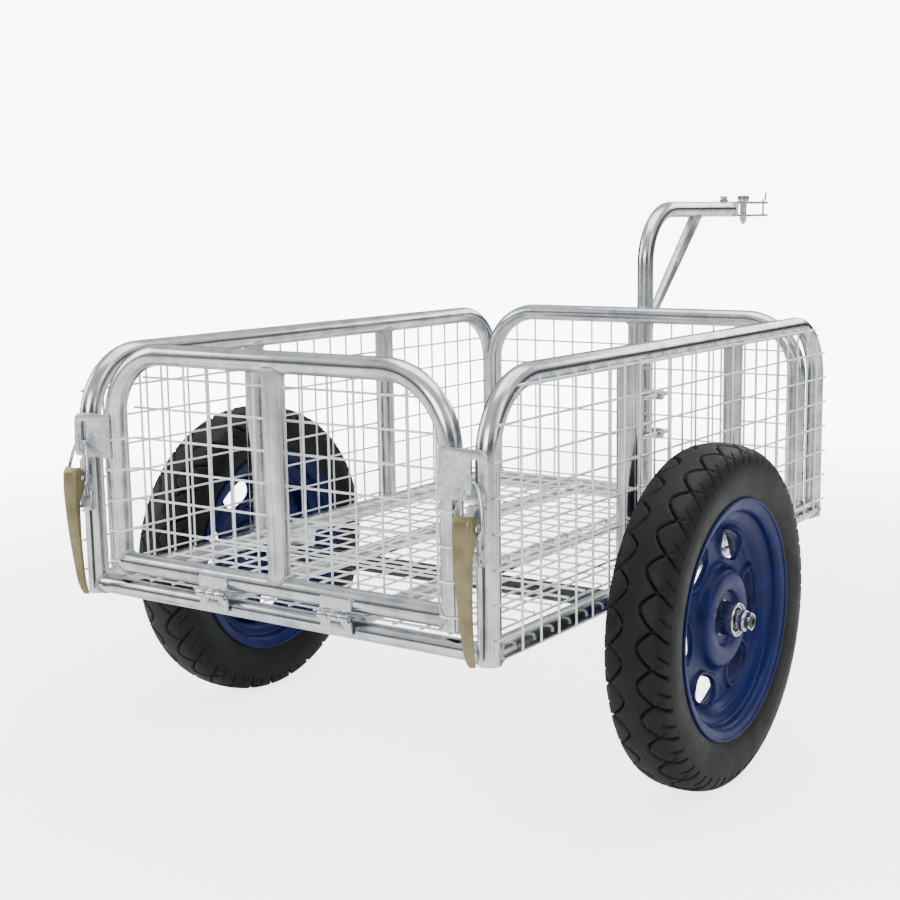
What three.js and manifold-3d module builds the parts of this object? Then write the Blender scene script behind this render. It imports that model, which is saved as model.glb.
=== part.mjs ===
// Two-wheeled garden cart: a tube frame with wire grids, a drop-down tailgate held by two
// toggle latches, a bent drawbar with a tow head, and two pneumatic wheels on a fixed axle.
//
// Millimetres. X runs across the cart, Y from the tailgate to the drawbar, Z up.
// Sizes along Y are counted from the plane of the tailgate's tubes. The whole cart is then
// moved along Y, so that the origin is on the ground in the middle of the cart.
import * as THREE from "three";
import { mergeVertices } from "three/addons/utils/BufferGeometryUtils.js";
import Module from "manifold-3d";

const wasm = await Module();
wasm.setup();

// ---- driving dimensions ----

const GAP = 0.3; // left between pieces that touch or are welded
const TUBE_R = 12.5; // frame tubes, 25 mm
const SILL_R = 10.5; // sill under the tailgate
const FLOOR_R = 10; // tubes under the floor grid
const BEND_R = 80; // centre-line radius of the frame's bends

const SIDE_X = 285; // middle of the side frames
const LENGTH = 857; // between the end legs of a side frame
const TOP_Z = 513; // top rail of a side frame
const RAIL_Z = 239; // bottom rails
const LEG_END_Z = 227; // lower ends of all the legs

const GATE_X = 241; // tailgate legs
const GATE_TOP_Z = 519;
const GATE_POST_X = 8;
const GATE_BOTTOM_Z = 270;
const FRONT_X = 265; // legs of the front frame
const FRONT_Y = LENGTH - 19;
const FRONT_TOP_Z = 517;
const FLOOR_RAIL_X = 95;

const WIRE = 4; // grid wires, three real ones drawn as one
const SIDE_CELLS = 8;
const END_CELLS = 5;
const FLOOR_CELLS = [4, 6];
const GRID_Z = [254, 362, 470]; // heights of the level wires

const WHEEL_X = 359; // middle plane of a wheel
const AXLE_Y = 356;
const AXLE_Z = 204; // also the tyre's outer radius
const AXLE_R = 12; // beam between the wheels
const SPINDLE_R = 8; // axle ends inside the hubs
const AXLE_END = 54; // beyond the wheel's middle plane
const RIM_R = 142;
const WALL = 2.6; // pressed steel of the rim
const HUB_R = 20;
const VENTS = 6;
const VENT_PHASE = 8; // degrees above +Y of the first vent hole
const WHEEL_SIDES = 24;

const HINGE = { y: -16.5, z: 254, pin: 2.5, knuckle: 5, x: [-80, 98], width: 42 };

const LATCH_X = 280;
const PIVOT = { y: -30, z: 372, pin: 2 }; // lever on its base
const BAIL = { y: -29, z: 366, wire: 2 }; // wire loop on the lever
const LEVER_HALF = 12; // half the lever's width at its head
const LEVER_WALL = 1.6;
const HOOK = { y: -20.7, z: 414 }; // where the loop's top lies in the hook

const BAR_Y = 868; // upright of the drawbar
const BAR_Z = 678; // level part of the drawbar
const BAR_BOTTOM_Z = 246;
const BAR_END_Y = 1177;
const BAR_BEND_R = 85;
const U_BOLT_Z = [328, 389];
const HEAD_END_Y = 1314;
const TOW_PIN_Y = 1232;
const HOOK_TIP_Y = 1331;

const REAR_Y = -43; // the latch levers' outer faces

// ---- finishes ----

const FINISHES = {
  galvanised: { color: 0xc9cdd0, roughness: 0.38, metalness: 0.9 },
  wire: { color: 0xd3d6d8, roughness: 0.35, metalness: 0.9 },
  zinc: { color: 0xbfc2c4, roughness: 0.3, metalness: 0.95 },
  yellow_zinc: { color: 0x8f8767, roughness: 0.42, metalness: 0.6 },
  blue_paint: { color: 0x1a2a6c, roughness: 0.32, metalness: 0.1 },
  rubber: { color: 0x1b1c1d, roughness: 0.8, metalness: 0 },
};

// ---- solids ----

// A closed geometry, turned inside out if its faces point inwards.
function facingOut(geometry) {
  const loose = geometry.index ? geometry.toNonIndexed() : geometry;
  const p = loose.getAttribute("position");
  const [a, b, c] = [0, 1, 2].map(() => new THREE.Vector3());
  let volume = 0;
  for (let i = 0; i < p.count; i += 3) {
    a.fromBufferAttribute(p, i);
    b.fromBufferAttribute(p, i + 1);
    c.fromBufferAttribute(p, i + 2);
    volume += a.dot(b.cross(c));
  }
  if (volume < 0) {
    for (let i = 0; i < p.count; i += 3) {
      b.fromBufferAttribute(p, i + 1);
      c.fromBufferAttribute(p, i + 2);
      p.setXYZ(i + 1, c.x, c.y, c.z);
      p.setXYZ(i + 2, b.x, b.y, b.z);
    }
  }
  return new THREE.BufferGeometry().setAttribute("position", p);
}

function solidOf(geometry) {
  const merged = mergeVertices(facingOut(geometry), 1e-4);
  return new wasm.Manifold(
    new wasm.Mesh({
      numProp: 3,
      vertProperties: merged.getAttribute("position").array,
      triVerts: new Uint32Array(merged.index.array),
    }),
  );
}

function geometryOf(solid) {
  const mesh = solid.getMesh();
  return new THREE.BufferGeometry()
    .setAttribute("position", new THREE.BufferAttribute(mesh.vertProperties, 3))
    .setIndex(new THREE.BufferAttribute(mesh.triVerts, 1));
}

const join = (first, ...rest) =>
  geometryOf(rest.reduce((sum, piece) => sum.add(solidOf(piece)), solidOf(first)));
const cut = (body, ...tools) =>
  geometryOf(tools.reduce((left, tool) => left.subtract(solidOf(tool)), solidOf(body)));
const common = (first, second) => geometryOf(solidOf(first).intersect(solidOf(second)));

// ---- shapes ----

const at = (x, y, z) => new THREE.Vector3(x, y, z);

function block([x0, x1], [y0, y1], [z0, z1]) {
  return new THREE.BoxGeometry(x1 - x0, y1 - y0, z1 - z0).translate(
    (x0 + x1) / 2,
    (y0 + y1) / 2,
    (z0 + z1) / 2,
  );
}

// A straight bar or pin between two points.
function rod(from, to, radius, sides = 12) {
  const along = to.clone().sub(from);
  const turn = new THREE.Quaternion().setFromUnitVectors(at(0, 1, 0), along.clone().normalize());
  const middle = from.clone().add(to).multiplyScalar(0.5);
  return new THREE.CylinderGeometry(radius, radius, along.length(), sides)
    .applyQuaternion(turn)
    .translate(middle.x, middle.y, middle.z);
}

// A path whose steps fall on its own points.
class PointPath extends THREE.Curve {
  constructor(points) {
    super();
    this.points = points;
  }
  getPoint(t, target = new THREE.Vector3()) {
    const place = t * (this.points.length - 1);
    const i = Math.min(Math.floor(place), this.points.length - 2);
    return target.lerpVectors(this.points[i], this.points[i + 1], place - i);
  }
  getPointAt(u, target) {
    return this.getPoint(u, target);
  }
  getTangentAt(u, target = new THREE.Vector3()) {
    const last = this.points.length - 1;
    const i = Math.round(u * last);
    const into = this.direction(Math.max(i - 1, 0));
    return target.copy(this.direction(Math.min(i, last - 1))).add(into).normalize();
  }
  direction(i) {
    return this.points[i + 1].clone().sub(this.points[i]).normalize();
  }
}

// The corners of a path with an arc of the given radius at each inner one.
function bend(corners, radius, steps = 6) {
  const path = [corners[0]];
  corners.slice(1, -1).forEach((corner, i) => {
    const into = corner.clone().sub(corners[i]).normalize();
    const out = corners[i + 2].clone().sub(corner).normalize();
    const turn = into.angleTo(out);
    const side = out.clone().addScaledVector(into, -into.dot(out)).normalize();
    const centre = corner
      .clone()
      .addScaledVector(into, -radius * Math.tan(turn / 2))
      .addScaledVector(side, radius);
    for (let s = 0; s <= steps; s++) {
      const angle = (turn * s) / steps;
      path.push(
        centre
          .clone()
          .addScaledVector(side, -radius * Math.cos(angle))
          .addScaledVector(into, radius * Math.sin(angle)),
      );
    }
  });
  path.push(corners.at(-1));
  return path;
}

function bentTube(path, radius, sides = 12) {
  const section = new THREE.Shape(
    Array.from({ length: sides }, (_, i) => {
      const angle = (2 * Math.PI * i) / sides;
      return new THREE.Vector2(radius * Math.cos(angle), radius * Math.sin(angle));
    }),
  );
  const extrudePath = new PointPath(path);
  return new THREE.ExtrudeGeometry(section, { steps: path.length - 1, extrudePath });
}

const shapeOf = (outline) => new THREE.Shape(outline.map(([u, v]) => new THREE.Vector2(u, v)));

function slab(shape, thickness) {
  return new THREE.ExtrudeGeometry(shape, {
    depth: thickness,
    bevelEnabled: false,
    curveSegments: 6,
  });
}

// Plates drawn as [y, z], [x, z] and [x, y] outlines, between two planes across the third axis.
const plateX = (shape, x0, x1) =>
  slab(shape, x1 - x0).applyMatrix4(
    new THREE.Matrix4().makeBasis(at(0, 1, 0), at(0, 0, 1), at(1, 0, 0)),
  ).translate(x0, 0, 0);
const plateY = (shape, y0, y1) =>
  slab(shape, y1 - y0).applyMatrix4(
    new THREE.Matrix4().makeBasis(at(1, 0, 0), at(0, 0, 1), at(0, -1, 0)),
  ).translate(0, y1, 0);
const plateZ = (shape, z0, z1) => slab(shape, z1 - z0).translate(0, 0, z0);

// A ring or disc turned about the X axis from a closed outline of [x, radius] points.
function turned(outline, sides = WHEEL_SIDES) {
  const points = [...outline, outline[0]].map(([x, r]) => new THREE.Vector2(r, x));
  return new THREE.LatheGeometry(points, sides).rotateZ(-Math.PI / 2);
}

// The outline of sheet metal of one thickness along a middle line.
function sheet(line, thickness) {
  const normal = (i) => {
    const [x0, r0] = line[Math.max(i - 1, 0)];
    const [x1, r1] = line[Math.min(i + 1, line.length - 1)];
    const length = Math.hypot(x1 - x0, r1 - r0);
    return [-(r1 - r0) / length, (x1 - x0) / length];
  };
  const side = (sign) =>
    line.map(([x, r], i) => {
      const [nx, nr] = normal(i);
      return [x + (sign * nx * thickness) / 2, r + (sign * nr * thickness) / 2];
    });
  return [...side(1), ...side(-1).reverse()];
}

// A shape with corners rounded at its top, as a bent frame has.
function archShape(u0, u1, v0, v1, radius) {
  const shape = new THREE.Shape();
  shape.moveTo(u0, v0);
  shape.lineTo(u1, v0);
  shape.lineTo(u1, v1 - radius);
  shape.absarc(u1 - radius, v1 - radius, radius, 0, Math.PI / 2, false);
  shape.absarc(u0 + radius, v1 - radius, radius, Math.PI / 2, Math.PI, false);
  return shape;
}

// Evenly spread values from one to another, both included.
const spread = (from, to, count) =>
  Array.from({ length: count + 1 }, (_, i) => from + ((to - from) * i) / count);

// A flat grid of crossing wires inside an outline. place is plateX, plateY or plateZ, and the
// grid lies between its two planes from and from + WIRE.
function wireGrid(place, from, us, vs, outline) {
  const half = WIRE / 2;
  const bar = (u0, u1, v0, v1) =>
    place(shapeOf([[u0, v0], [u1, v0], [u1, v1], [u0, v1]]), from, from + WIRE);
  const upright = us.map((u) => bar(u - half, u + half, vs[0] - half, vs.at(-1) + half));
  const level = vs.map((v) => bar(us[0] - half, us.at(-1) + half, v - half, v + half));
  return common(join(...upright, ...level), place(outline, from - 1, from + WIRE + 1));
}

// ---- the scene ----

const cart = new THREE.Group();

function piece(name, finish, geometry) {
  const material = new THREE.MeshStandardMaterial(FINISHES[finish]);
  const mesh = new THREE.Mesh(facingOut(geometry), material);
  mesh.name = name;
  cart.add(mesh);
  return mesh;
}

// Left is -X and right is +X, seen from the tailgate.
const SIDES = [
  { side: "left", sign: -1 },
  { side: "right", sign: 1 },
];

// ---- frame ----

const INNER = TUBE_R + GAP; // from a tube's middle line to what touches it

function sideFrame({ side, sign }) {
  const x = sign * SIDE_X;
  const hoop = bend(
    [at(x, 0, LEG_END_Z), at(x, 0, TOP_Z), at(x, LENGTH, TOP_Z), at(x, LENGTH, LEG_END_Z)],
    BEND_R,
  );
  piece(`side_hoop_${side}`, "galvanised", bentTube(hoop, TUBE_R));
  const rail = rod(at(x, INNER, RAIL_Z), at(x, LENGTH - INNER, RAIL_Z), TUBE_R);
  const frontX = sign * FRONT_X;
  const frontLeg = rod(at(frontX, FRONT_Y, RAIL_Z - 50), at(frontX, FRONT_Y, RAIL_Z + 50), INNER);
  piece(`bed_rail_${side}`, "galvanised", cut(rail, frontLeg));
  for (const third of [1, 2]) {
    const y = (LENGTH * third) / 3;
    const post = rod(at(x, y, RAIL_Z + INNER), at(x, y, TOP_Z - INNER), TUBE_R);
    piece(`side_post_${side}_${third}`, "galvanised", post);
  }
  const outline = archShape(-2, LENGTH + 2, RAIL_Z, TOP_Z, BEND_R);
  const from = sign > 0 ? SIDE_X + INNER : -SIDE_X - INNER - WIRE;
  const grid = wireGrid(plateX, from, spread(0, LENGTH, SIDE_CELLS), [...GRID_Z, TOP_Z], outline);
  piece(`side_grid_${side}`, "wire", grid);
}

function frontFrame() {
  const y = FRONT_Y;
  const hoop = bend(
    [
      at(-FRONT_X, y, LEG_END_Z),
      at(-FRONT_X, y, FRONT_TOP_Z),
      at(FRONT_X, y, FRONT_TOP_Z),
      at(FRONT_X, y, LEG_END_Z),
    ],
    BEND_R,
  );
  piece("front_hoop", "galvanised", bentTube(hoop, TUBE_R));
  const reach = FRONT_X - INNER;
  const bottom = rod(at(-reach, y, RAIL_Z), at(reach, y, RAIL_Z), TUBE_R);
  piece("front_bottom_tube", "galvanised", bottom);
  const post = rod(at(0, y, RAIL_Z + INNER), at(0, y, FRONT_TOP_Z - INNER), TUBE_R);
  piece("front_centre_post", "galvanised", post);
  const outline = archShape(-FRONT_X, FRONT_X, RAIL_Z, FRONT_TOP_Z, BEND_R);
  const us = spread(-FRONT_X, FRONT_X, END_CELLS);
  const grid = wireGrid(plateY, y + INNER, us, [...GRID_Z, FRONT_TOP_Z], outline);
  piece("front_grid", "wire", grid);
}

function floor() {
  const sillEnd = SIDE_X - INNER;
  piece("sill_tube", "galvanised", rod(at(-sillEnd, 0, RAIL_Z - 1), at(sillEnd, 0, RAIL_Z - 1), SILL_R));
  const z = RAIL_Z + TUBE_R - FLOOR_R;
  for (const { side, sign } of SIDES) {
    const x = sign * FLOOR_RAIL_X;
    const rail = rod(at(x, SILL_R + GAP, z), at(x, FRONT_Y - INNER, z), FLOOR_R);
    piece(`floor_rail_${side}`, "galvanised", rail);
  }
  // The floor grid lies on the bottom tubes, inside the legs of the hoops.
  const xs = spread(-SIDE_X + TUBE_R + 3, SIDE_X - TUBE_R - 3, FLOOR_CELLS[0]);
  const ys = spread(2, FRONT_Y - TUBE_R - 3, FLOOR_CELLS[1]);
  const [x, y] = [SIDE_X, LENGTH];
  const outline = shapeOf([[-x, -SILL_R], [x, -SILL_R], [x, y], [-x, y]]);
  piece("floor_grid", "wire", wireGrid(plateZ, RAIL_Z + INNER, xs, ys, outline));
}

function axle() {
  const reach = WHEEL_X - 42;
  const tip = WHEEL_X + AXLE_END;
  const beam = rod(at(-reach, AXLE_Y, AXLE_Z), at(reach, AXLE_Y, AXLE_Z), AXLE_R, 16);
  const spindle = rod(at(-tip, AXLE_Y, AXLE_Z), at(tip, AXLE_Y, AXLE_Z), SPINDLE_R, 16);
  piece("axle", "galvanised", join(beam, spindle));
  const top = RAIL_Z - 8;
  for (const { side, sign } of SIDES) {
    const shape = shapeOf([
      [AXLE_Y - 20, AXLE_Z - 16],
      [AXLE_Y + 20, AXLE_Z - 16],
      [AXLE_Y + 32, top],
      [AXLE_Y - 32, top],
    ]);
    const hole = rod(at(-400, AXLE_Y, AXLE_Z), at(400, AXLE_Y, AXLE_Z), AXLE_R + GAP, 16);
    const saddle = rod(at(sign * SIDE_X, 0, RAIL_Z), at(sign * SIDE_X, LENGTH, RAIL_Z), INNER, 24);
    const x = sign * SIDE_X;
    piece(`axle_bracket_${side}`, "galvanised", cut(plateX(shape, x - 13, x + 13), hole, saddle));
    const nut = rod(at(sign * (tip - 9), AXLE_Y, AXLE_Z), at(sign * (tip - 1), AXLE_Y, AXLE_Z), 11, 6);
    const bore = rod(at(-450, AXLE_Y, AXLE_Z), at(450, AXLE_Y, AXLE_Z), SPINDLE_R + GAP, 16);
    piece(`axle_nut_${side}`, "zinc", cut(nut, bore));
  }
}

// ---- wheels ----

function wheel({ side, sign }) {
  // Outlines are [x, radius] for the right-hand wheel, with +x on its outer side.
  const place = (outline) => {
    const outward = outline.map(([x, r]) => [sign * (x + WHEEL_X), r]);
    return turned(outward).translate(0, AXLE_Y, AXLE_Z);
  };
  const outer = [
    [29, 130.3],
    [34.6, 144.5],
    [40, 170],
    [35.5, 193],
    [20, 202],
    [0, AXLE_Z],
  ];
  const inner = [
    [0, 196],
    [28, 188],
    [32.5, 170],
    [27, 145],
    [21, 130.3],
  ];
  const mirrored = (line) => line.map(([x, r]) => [-x, r]).reverse();
  const tyre = [...outer, ...mirrored(outer.slice(0, -1)), ...mirrored(inner.slice(1)), ...inner];
  piece(`tyre_${side}`, "rubber", place(tyre));

  const half = [
    [16, 114],
    [20, 128],
    [31, 128.5],
    [35, RIM_R - 2],
  ];
  const barrel = place(sheet([...mirrored(half), ...half], WALL));
  const disc = place(
    sheet(
      [
        [14, 115],
        [5, 106],
        [5, 70],
        [22, 57],
        [24, 38],
        [20, HUB_R + 1.5],
      ],
      WALL,
    ),
  );
  const vents = Array.from({ length: VENTS }, (_, i) => {
    const angle = ((VENT_PHASE + (360 / VENTS) * i) * Math.PI) / 180;
    const y = AXLE_Y + 87 * Math.cos(angle);
    const z = AXLE_Z + 87 * Math.sin(angle);
    return rod(at(sign * (WHEEL_X - 10), y, z), at(sign * (WHEEL_X + 20), y, z), 13, 8);
  });
  piece(`rim_${side}`, "blue_paint", cut(join(barrel, disc), ...vents));

  const shell = [
    [-38, HUB_R],
    [36, HUB_R],
    [36, 17.5],
    [-38, 17.5],
  ];
  piece(`hub_${side}`, "zinc", place(shell));
  const bearings = [
    [-36, 17.2],
    [-25, 17.2],
    [-25, 11.5],
    [23, 11.5],
    [23, 17.2],
    [34, 17.2],
    [34, SPINDLE_R + GAP],
    [-36, SPINDLE_R + GAP],
  ];
  piece(`bearing_set_${side}`, "zinc", place(bearings));
}

// ---- tailgate ----

function tailgate() {
  const hoop = bend(
    [
      at(-GATE_X, 0, GATE_BOTTOM_Z - TUBE_R),
      at(-GATE_X, 0, GATE_TOP_Z),
      at(GATE_X, 0, GATE_TOP_Z),
      at(GATE_X, 0, GATE_BOTTOM_Z - TUBE_R),
    ],
    BEND_R,
  );
  piece("gate_hoop", "galvanised", bentTube(hoop, TUBE_R));
  const reach = GATE_X - INNER;
  const bottom = rod(at(-reach, 0, GATE_BOTTOM_Z), at(reach, 0, GATE_BOTTOM_Z), TUBE_R);
  piece("gate_bottom_tube", "galvanised", bottom);
  const postFoot = at(GATE_POST_X, 0, GATE_BOTTOM_Z + INNER);
  const post = rod(postFoot, at(GATE_POST_X, 0, GATE_TOP_Z - INNER), TUBE_R);
  piece("gate_centre_post", "galvanised", post);
  const outline = archShape(-GATE_X, GATE_X, GATE_BOTTOM_Z - 6, GATE_TOP_Z, BEND_R);
  const levels = [GATE_BOTTOM_Z, ...GRID_Z.slice(1), GATE_TOP_Z];
  const us = spread(-GATE_X, GATE_X, END_CELLS);
  piece("gate_grid", "wire", wireGrid(plateY, INNER, us, levels, outline));
}

// A butt hinge: the lower leaf holds the two outer knuckles, the upper leaf the middle one.
function hinge(side, x) {
  const { y, z, pin, knuckle, width } = HINGE;
  const ends = [x - width / 2, x - width / 6, x + width / 6, x + width / 2];
  const clear = (r) => rod(at(x - width, y, z), at(x + width, y, z), r, 16);
  const barrel = (x0, x1) => rod(at(x0, y, z), at(x1, y, z), knuckle, 12);
  // Each leaf lies against its tube's outer side and curls into the knuckles.
  const face = -TUBE_R - GAP;
  const sillFace = -SILL_R - GAP;
  const upper = join(
    block([ends[0], ends[3]], [face - 2.5, face], [z + 7, z + 21]),
    block([ends[1] + GAP, ends[2] - GAP], [face - 2.5, face], [z, z + 8]),
    barrel(ends[1] + GAP, ends[2] - GAP),
  );
  const lower = join(
    block([ends[0], ends[3]], [sillFace - 2.5, sillFace], [z - 21, z - 7]),
    block([ends[0], ends[1] - GAP], [face - 2.5, sillFace], [z - 10, z]),
    block([ends[2] + GAP, ends[3]], [face - 2.5, sillFace], [z - 10, z]),
    barrel(ends[0], ends[1] - GAP),
    barrel(ends[2] + GAP, ends[3]),
  );
  const sillClear = rod(at(x - width, 0, RAIL_Z - 1), at(x + width, 0, RAIL_Z - 1), SILL_R + GAP, 24);
  const bore = clear(pin + GAP);
  piece(`hinge_upper_leaf_${side}`, "zinc", cut(upper, bore));
  piece(`hinge_lower_leaf_${side}`, "zinc", cut(lower, bore, sillClear));
  piece(`hinge_pin_${side}`, "zinc", rod(at(ends[0] - 1, y, z), at(ends[3] + 1, y, z), pin, 12));
}

// ---- latches ----

function latch({ side, sign }) {
  // Drawn for the right-hand latch about x = 0, then moved to its side.
  const finish = (name, look, geometry) =>
    piece(`${name}_${side}`, look, geometry.scale(sign, 1, 1).translate(sign * LATCH_X, 0, 0));

  // Hook plate on the tailgate's leg, with a slot and a tongue struck up from it.
  const plate = new THREE.Shape();
  const [left, right, low, high, corner] = [-44, 16, 395, 447, 14];
  plate.moveTo(left, low);
  plate.lineTo(right, low);
  plate.lineTo(right, high - corner);
  plate.absarc(right - corner, high - corner, corner, 0, Math.PI / 2, false);
  plate.lineTo(left, high);
  const slot = new THREE.Path();
  slot.moveTo(-4.5, 418);
  slot.lineTo(-4.5, 433);
  slot.absarc(0, 433, 4.5, Math.PI, 0, true);
  slot.lineTo(4.5, 418);
  plate.holes.push(slot);
  const face = -TUBE_R - GAP;
  const tongue = [
    [face - 2, 400],
    [-23, 404],
    [-25, 409],
    [-25, 424],
    [-27, 424],
    [-27, 408],
    [-24, 402],
    [face - 2, 397.5],
  ];
  const hook = plateX(shapeOf(tongue), -3.5, 3.5);
  finish("latch_hook_plate", "galvanised", join(plateY(plate, face - 3, face), hook));

  // Base on the side frame's leg: a plate with a window and two ears for the lever's pin.
  const base = block([-10, 10], [face - 2, face], [330, 392]);
  const window = block([-4, 4], [face - 5, face + 5], [345, 360]);
  const ear = new THREE.Shape();
  ear.moveTo(face - 1, 352);
  ear.lineTo(PIVOT.y - 2, PIVOT.z - 4);
  ear.absarc(PIVOT.y, PIVOT.z, 4.5, -2, -4.3, true);
  ear.lineTo(face - 1, 374);
  const bore = rod(at(-20, PIVOT.y, PIVOT.z), at(20, PIVOT.y, PIVOT.z), PIVOT.pin + GAP, 12);
  const lug = plateX(shapeOf([[face - 1, 332], [-24, 333], [-24, 343], [face - 1, 350]]), 8.4, 9.9);
  const eye = rod(at(0, -20, 338), at(20, -20, 338), 2.4, 8);
  const ears = [plateX(ear, -9.9, -8.4), plateX(ear, 8.4, 9.9)];
  finish("latch_base", "zinc", cut(join(base, ...ears, lug), window, bore, eye));
  const pin = rod(at(-13, PIVOT.y, PIVOT.z), at(13, PIVOT.y, PIVOT.z), PIVOT.pin, 12);
  finish("latch_pin", "zinc", pin);

  // Lever: a pressed channel that narrows to a curved tip.
  const outerSide = [
    [-33.5, 379],
    [-40, 379],
    [-42.5, 372],
    [-43, 345],
    [-40, 300],
    [-35, 255],
    [-31, 236],
    [-27, 229],
    [-24, 230],
    [-26, 240],
    [-31, 262],
    [-34, 300],
    [-34, 345],
    [-26, 362],
    [-26, 376],
  ];
  const innerSide = [
    [-20, 385],
    [-38.4, 385],
    [-40.8, 372],
    [-41.3, 345],
    [-38.3, 300],
    [-33.4, 255],
    [-25, 244],
    [-15, 300],
  ];
  const front = (inset) =>
    shapeOf([
      [-LEVER_HALF + inset, 395],
      [-LEVER_HALF + inset, 372],
      [-7.5 + inset, 236],
      [-4 + inset, 227 + inset],
      [4 - inset, 227 + inset],
      [7.5 - inset, 236],
      [LEVER_HALF - inset, 372],
      [LEVER_HALF - inset, 395],
    ]);
  const body = common(plateX(shapeOf(outerSide), -20, 20), plateY(front(0), -60, 0));
  const hollow = common(plateX(shapeOf(innerSide), -20, 20), plateY(front(LEVER_WALL), -60, 0));
  const bailHole = rod(at(-20, BAIL.y, BAIL.z), at(20, BAIL.y, BAIL.z), BAIL.wire + GAP, 12);
  finish("latch_lever", "yellow_zinc", cut(body, hollow, bore, bailHole));

  // Wire loop: its ends turn in through the lever's cheeks, its top lies behind the tongue.
  const cheek = LEVER_HALF - LEVER_WALL;
  const loop = bend(
    [
      at(-cheek, BAIL.y, BAIL.z),
      at(-16, BAIL.y, BAIL.z),
      at(-16, BAIL.y + 2, BAIL.z + 18),
      at(-7, HOOK.y, HOOK.z),
      at(7, HOOK.y, HOOK.z),
      at(16, BAIL.y + 2, BAIL.z + 18),
      at(16, BAIL.y, BAIL.z),
      at(cheek, BAIL.y, BAIL.z),
    ],
    2.4,
    3,
  );
  finish("latch_bail", "zinc", bentTube(loop, BAIL.wire, 8));
}

// ---- drawbar ----

function drawbar() {
  const path = bend(
    [at(0, BAR_Y, BAR_BOTTOM_Z), at(0, BAR_Y, BAR_Z), at(0, BAR_END_Y, BAR_Z)],
    BAR_BEND_R,
    8,
  );
  piece("drawbar_tube", "galvanised", bentTube(path, TUBE_R));
  const clear = [
    rod(at(0, BAR_Y, 400), at(0, BAR_Y, BAR_Z - 40), INNER, 24),
    rod(at(0, BAR_Y, BAR_Z), at(0, BAR_END_Y, BAR_Z), INNER, 24),
  ];
  const strip = shapeOf([
    [BAR_Y, 492],
    [BAR_Y + 4, 488],
    [1062, BAR_Z],
    [1028, BAR_Z],
    [BAR_Y, 522],
  ]);
  const hole = rod(at(-20, 965, 592), at(20, 965, 592), 3, 10);
  piece("drawbar_brace", "galvanised", cut(plateX(strip, -6, 6), hole, ...clear));

  // U-bolts hold the upright to the front frame's middle post.
  const legX = TUBE_R + GAP + 3.7;
  U_BOLT_Z.forEach((z, i) => {
    const wrap = bend(
      [at(legX, 914, z), at(legX, FRONT_Y - legX, z), at(-legX, FRONT_Y - legX, z), at(-legX, 914, z)],
      legX - GAP,
      5,
    );
    const nuts = [-legX, legX].map((x) => rod(at(x, 888, z), at(x, 896, z), 6.5, 6));
    const bridge = block([-legX - 7, legX + 7], [BAR_Y + INNER, 888.5], [z - 8, z + 8]);
    const name = ["lower", "upper"][i];
    piece(`u_bolt_${name}`, "zinc", join(bentTube(wrap, 3.4, 8), ...nuts, bridge));
  });
}

function towHead() {
  // Channel at the end of the drawbar: a shank inside the tube line and two flat cheeks.
  const [low, high] = [BAR_Z - 13, BAR_Z + 13];
  const back = [BAR_END_Y + GAP, BAR_END_Y + 14];
  const cheeks = [
    block([-14, 14], [BAR_END_Y + GAP, HEAD_END_Y], [high - 4, high]),
    block([-14, 14], [BAR_END_Y + GAP, HEAD_END_Y], [low, low + 4]),
  ];
  const bore = rod(at(0, TOW_PIN_Y, low - 5), at(0, TOW_PIN_Y, high + 5), 6 + GAP, 16);
  const hookRoot = rod(at(0, HEAD_END_Y - 18, high - 1), at(0, HEAD_END_Y - 18, high + 1), 2, 8);
  const web = block([-14, 14], back, [low, high]);
  piece("tow_head", "galvanised", cut(join(web, ...cheeks, hookRoot), bore));
  const pin = join(
    rod(at(0, TOW_PIN_Y, low - 14), at(0, TOW_PIN_Y, high + 3), 6, 16),
    rod(at(0, TOW_PIN_Y, high + GAP), at(0, TOW_PIN_Y, high + 10), 10, 6),
  );
  piece("tow_pin", "zinc", pin);
  const hook = bend(
    [
      at(0, HEAD_END_Y + 4, low),
      at(0, HEAD_END_Y + 4, high + 3),
      at(0, HOOK_TIP_Y - 4, high + 3),
      at(0, HOOK_TIP_Y - 1.8, high + 16),
    ],
    3,
    3,
  );
  piece("tow_hook", "zinc", bentTube(hook, 1.8, 8));
  const boltY = BAR_END_Y - 25;
  const bolt = join(
    rod(at(0, boltY, BAR_Z + INNER), at(0, boltY, BAR_Z + 20), 4, 10),
    rod(at(0, boltY - 11, BAR_Z + 20), at(0, boltY + 11, BAR_Z + 20), 2.5, 8),
  );
  piece("clamp_bolt", "zinc", bolt);
}

// ---- assembly ----

SIDES.forEach(sideFrame);
frontFrame();
floor();
axle();
SIDES.forEach(wheel);
tailgate();
hinge("left", HINGE.x[0]);
hinge("right", HINGE.x[1]);
SIDES.forEach(latch);
drawbar();
towHead();

cart.position.y = -(REAR_Y + HOOK_TIP_Y) / 2;

export default cart;
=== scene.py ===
"""Two-wheeled garden cart of galvanised tube and wire, finished for display.

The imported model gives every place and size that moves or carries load. This script makes the
visible pieces round it: bent and coped tubes with their welds, wire grids, treaded tyres on
pressed wheels, hinges, toggle latches and the drawbar with its tow head.

Sizes are millimetres in the cart's own axes: X across, Y from the tailgate's tubes towards the
drawbar, Z up. A mesh is turned to metres in the row frame when it is made.
"""

import logging
import math
from dataclasses import dataclass, field
from enum import Enum
from typing import Sequence

import bmesh
import bpy
import numpy as np
from mathutils import Matrix, Vector


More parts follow.
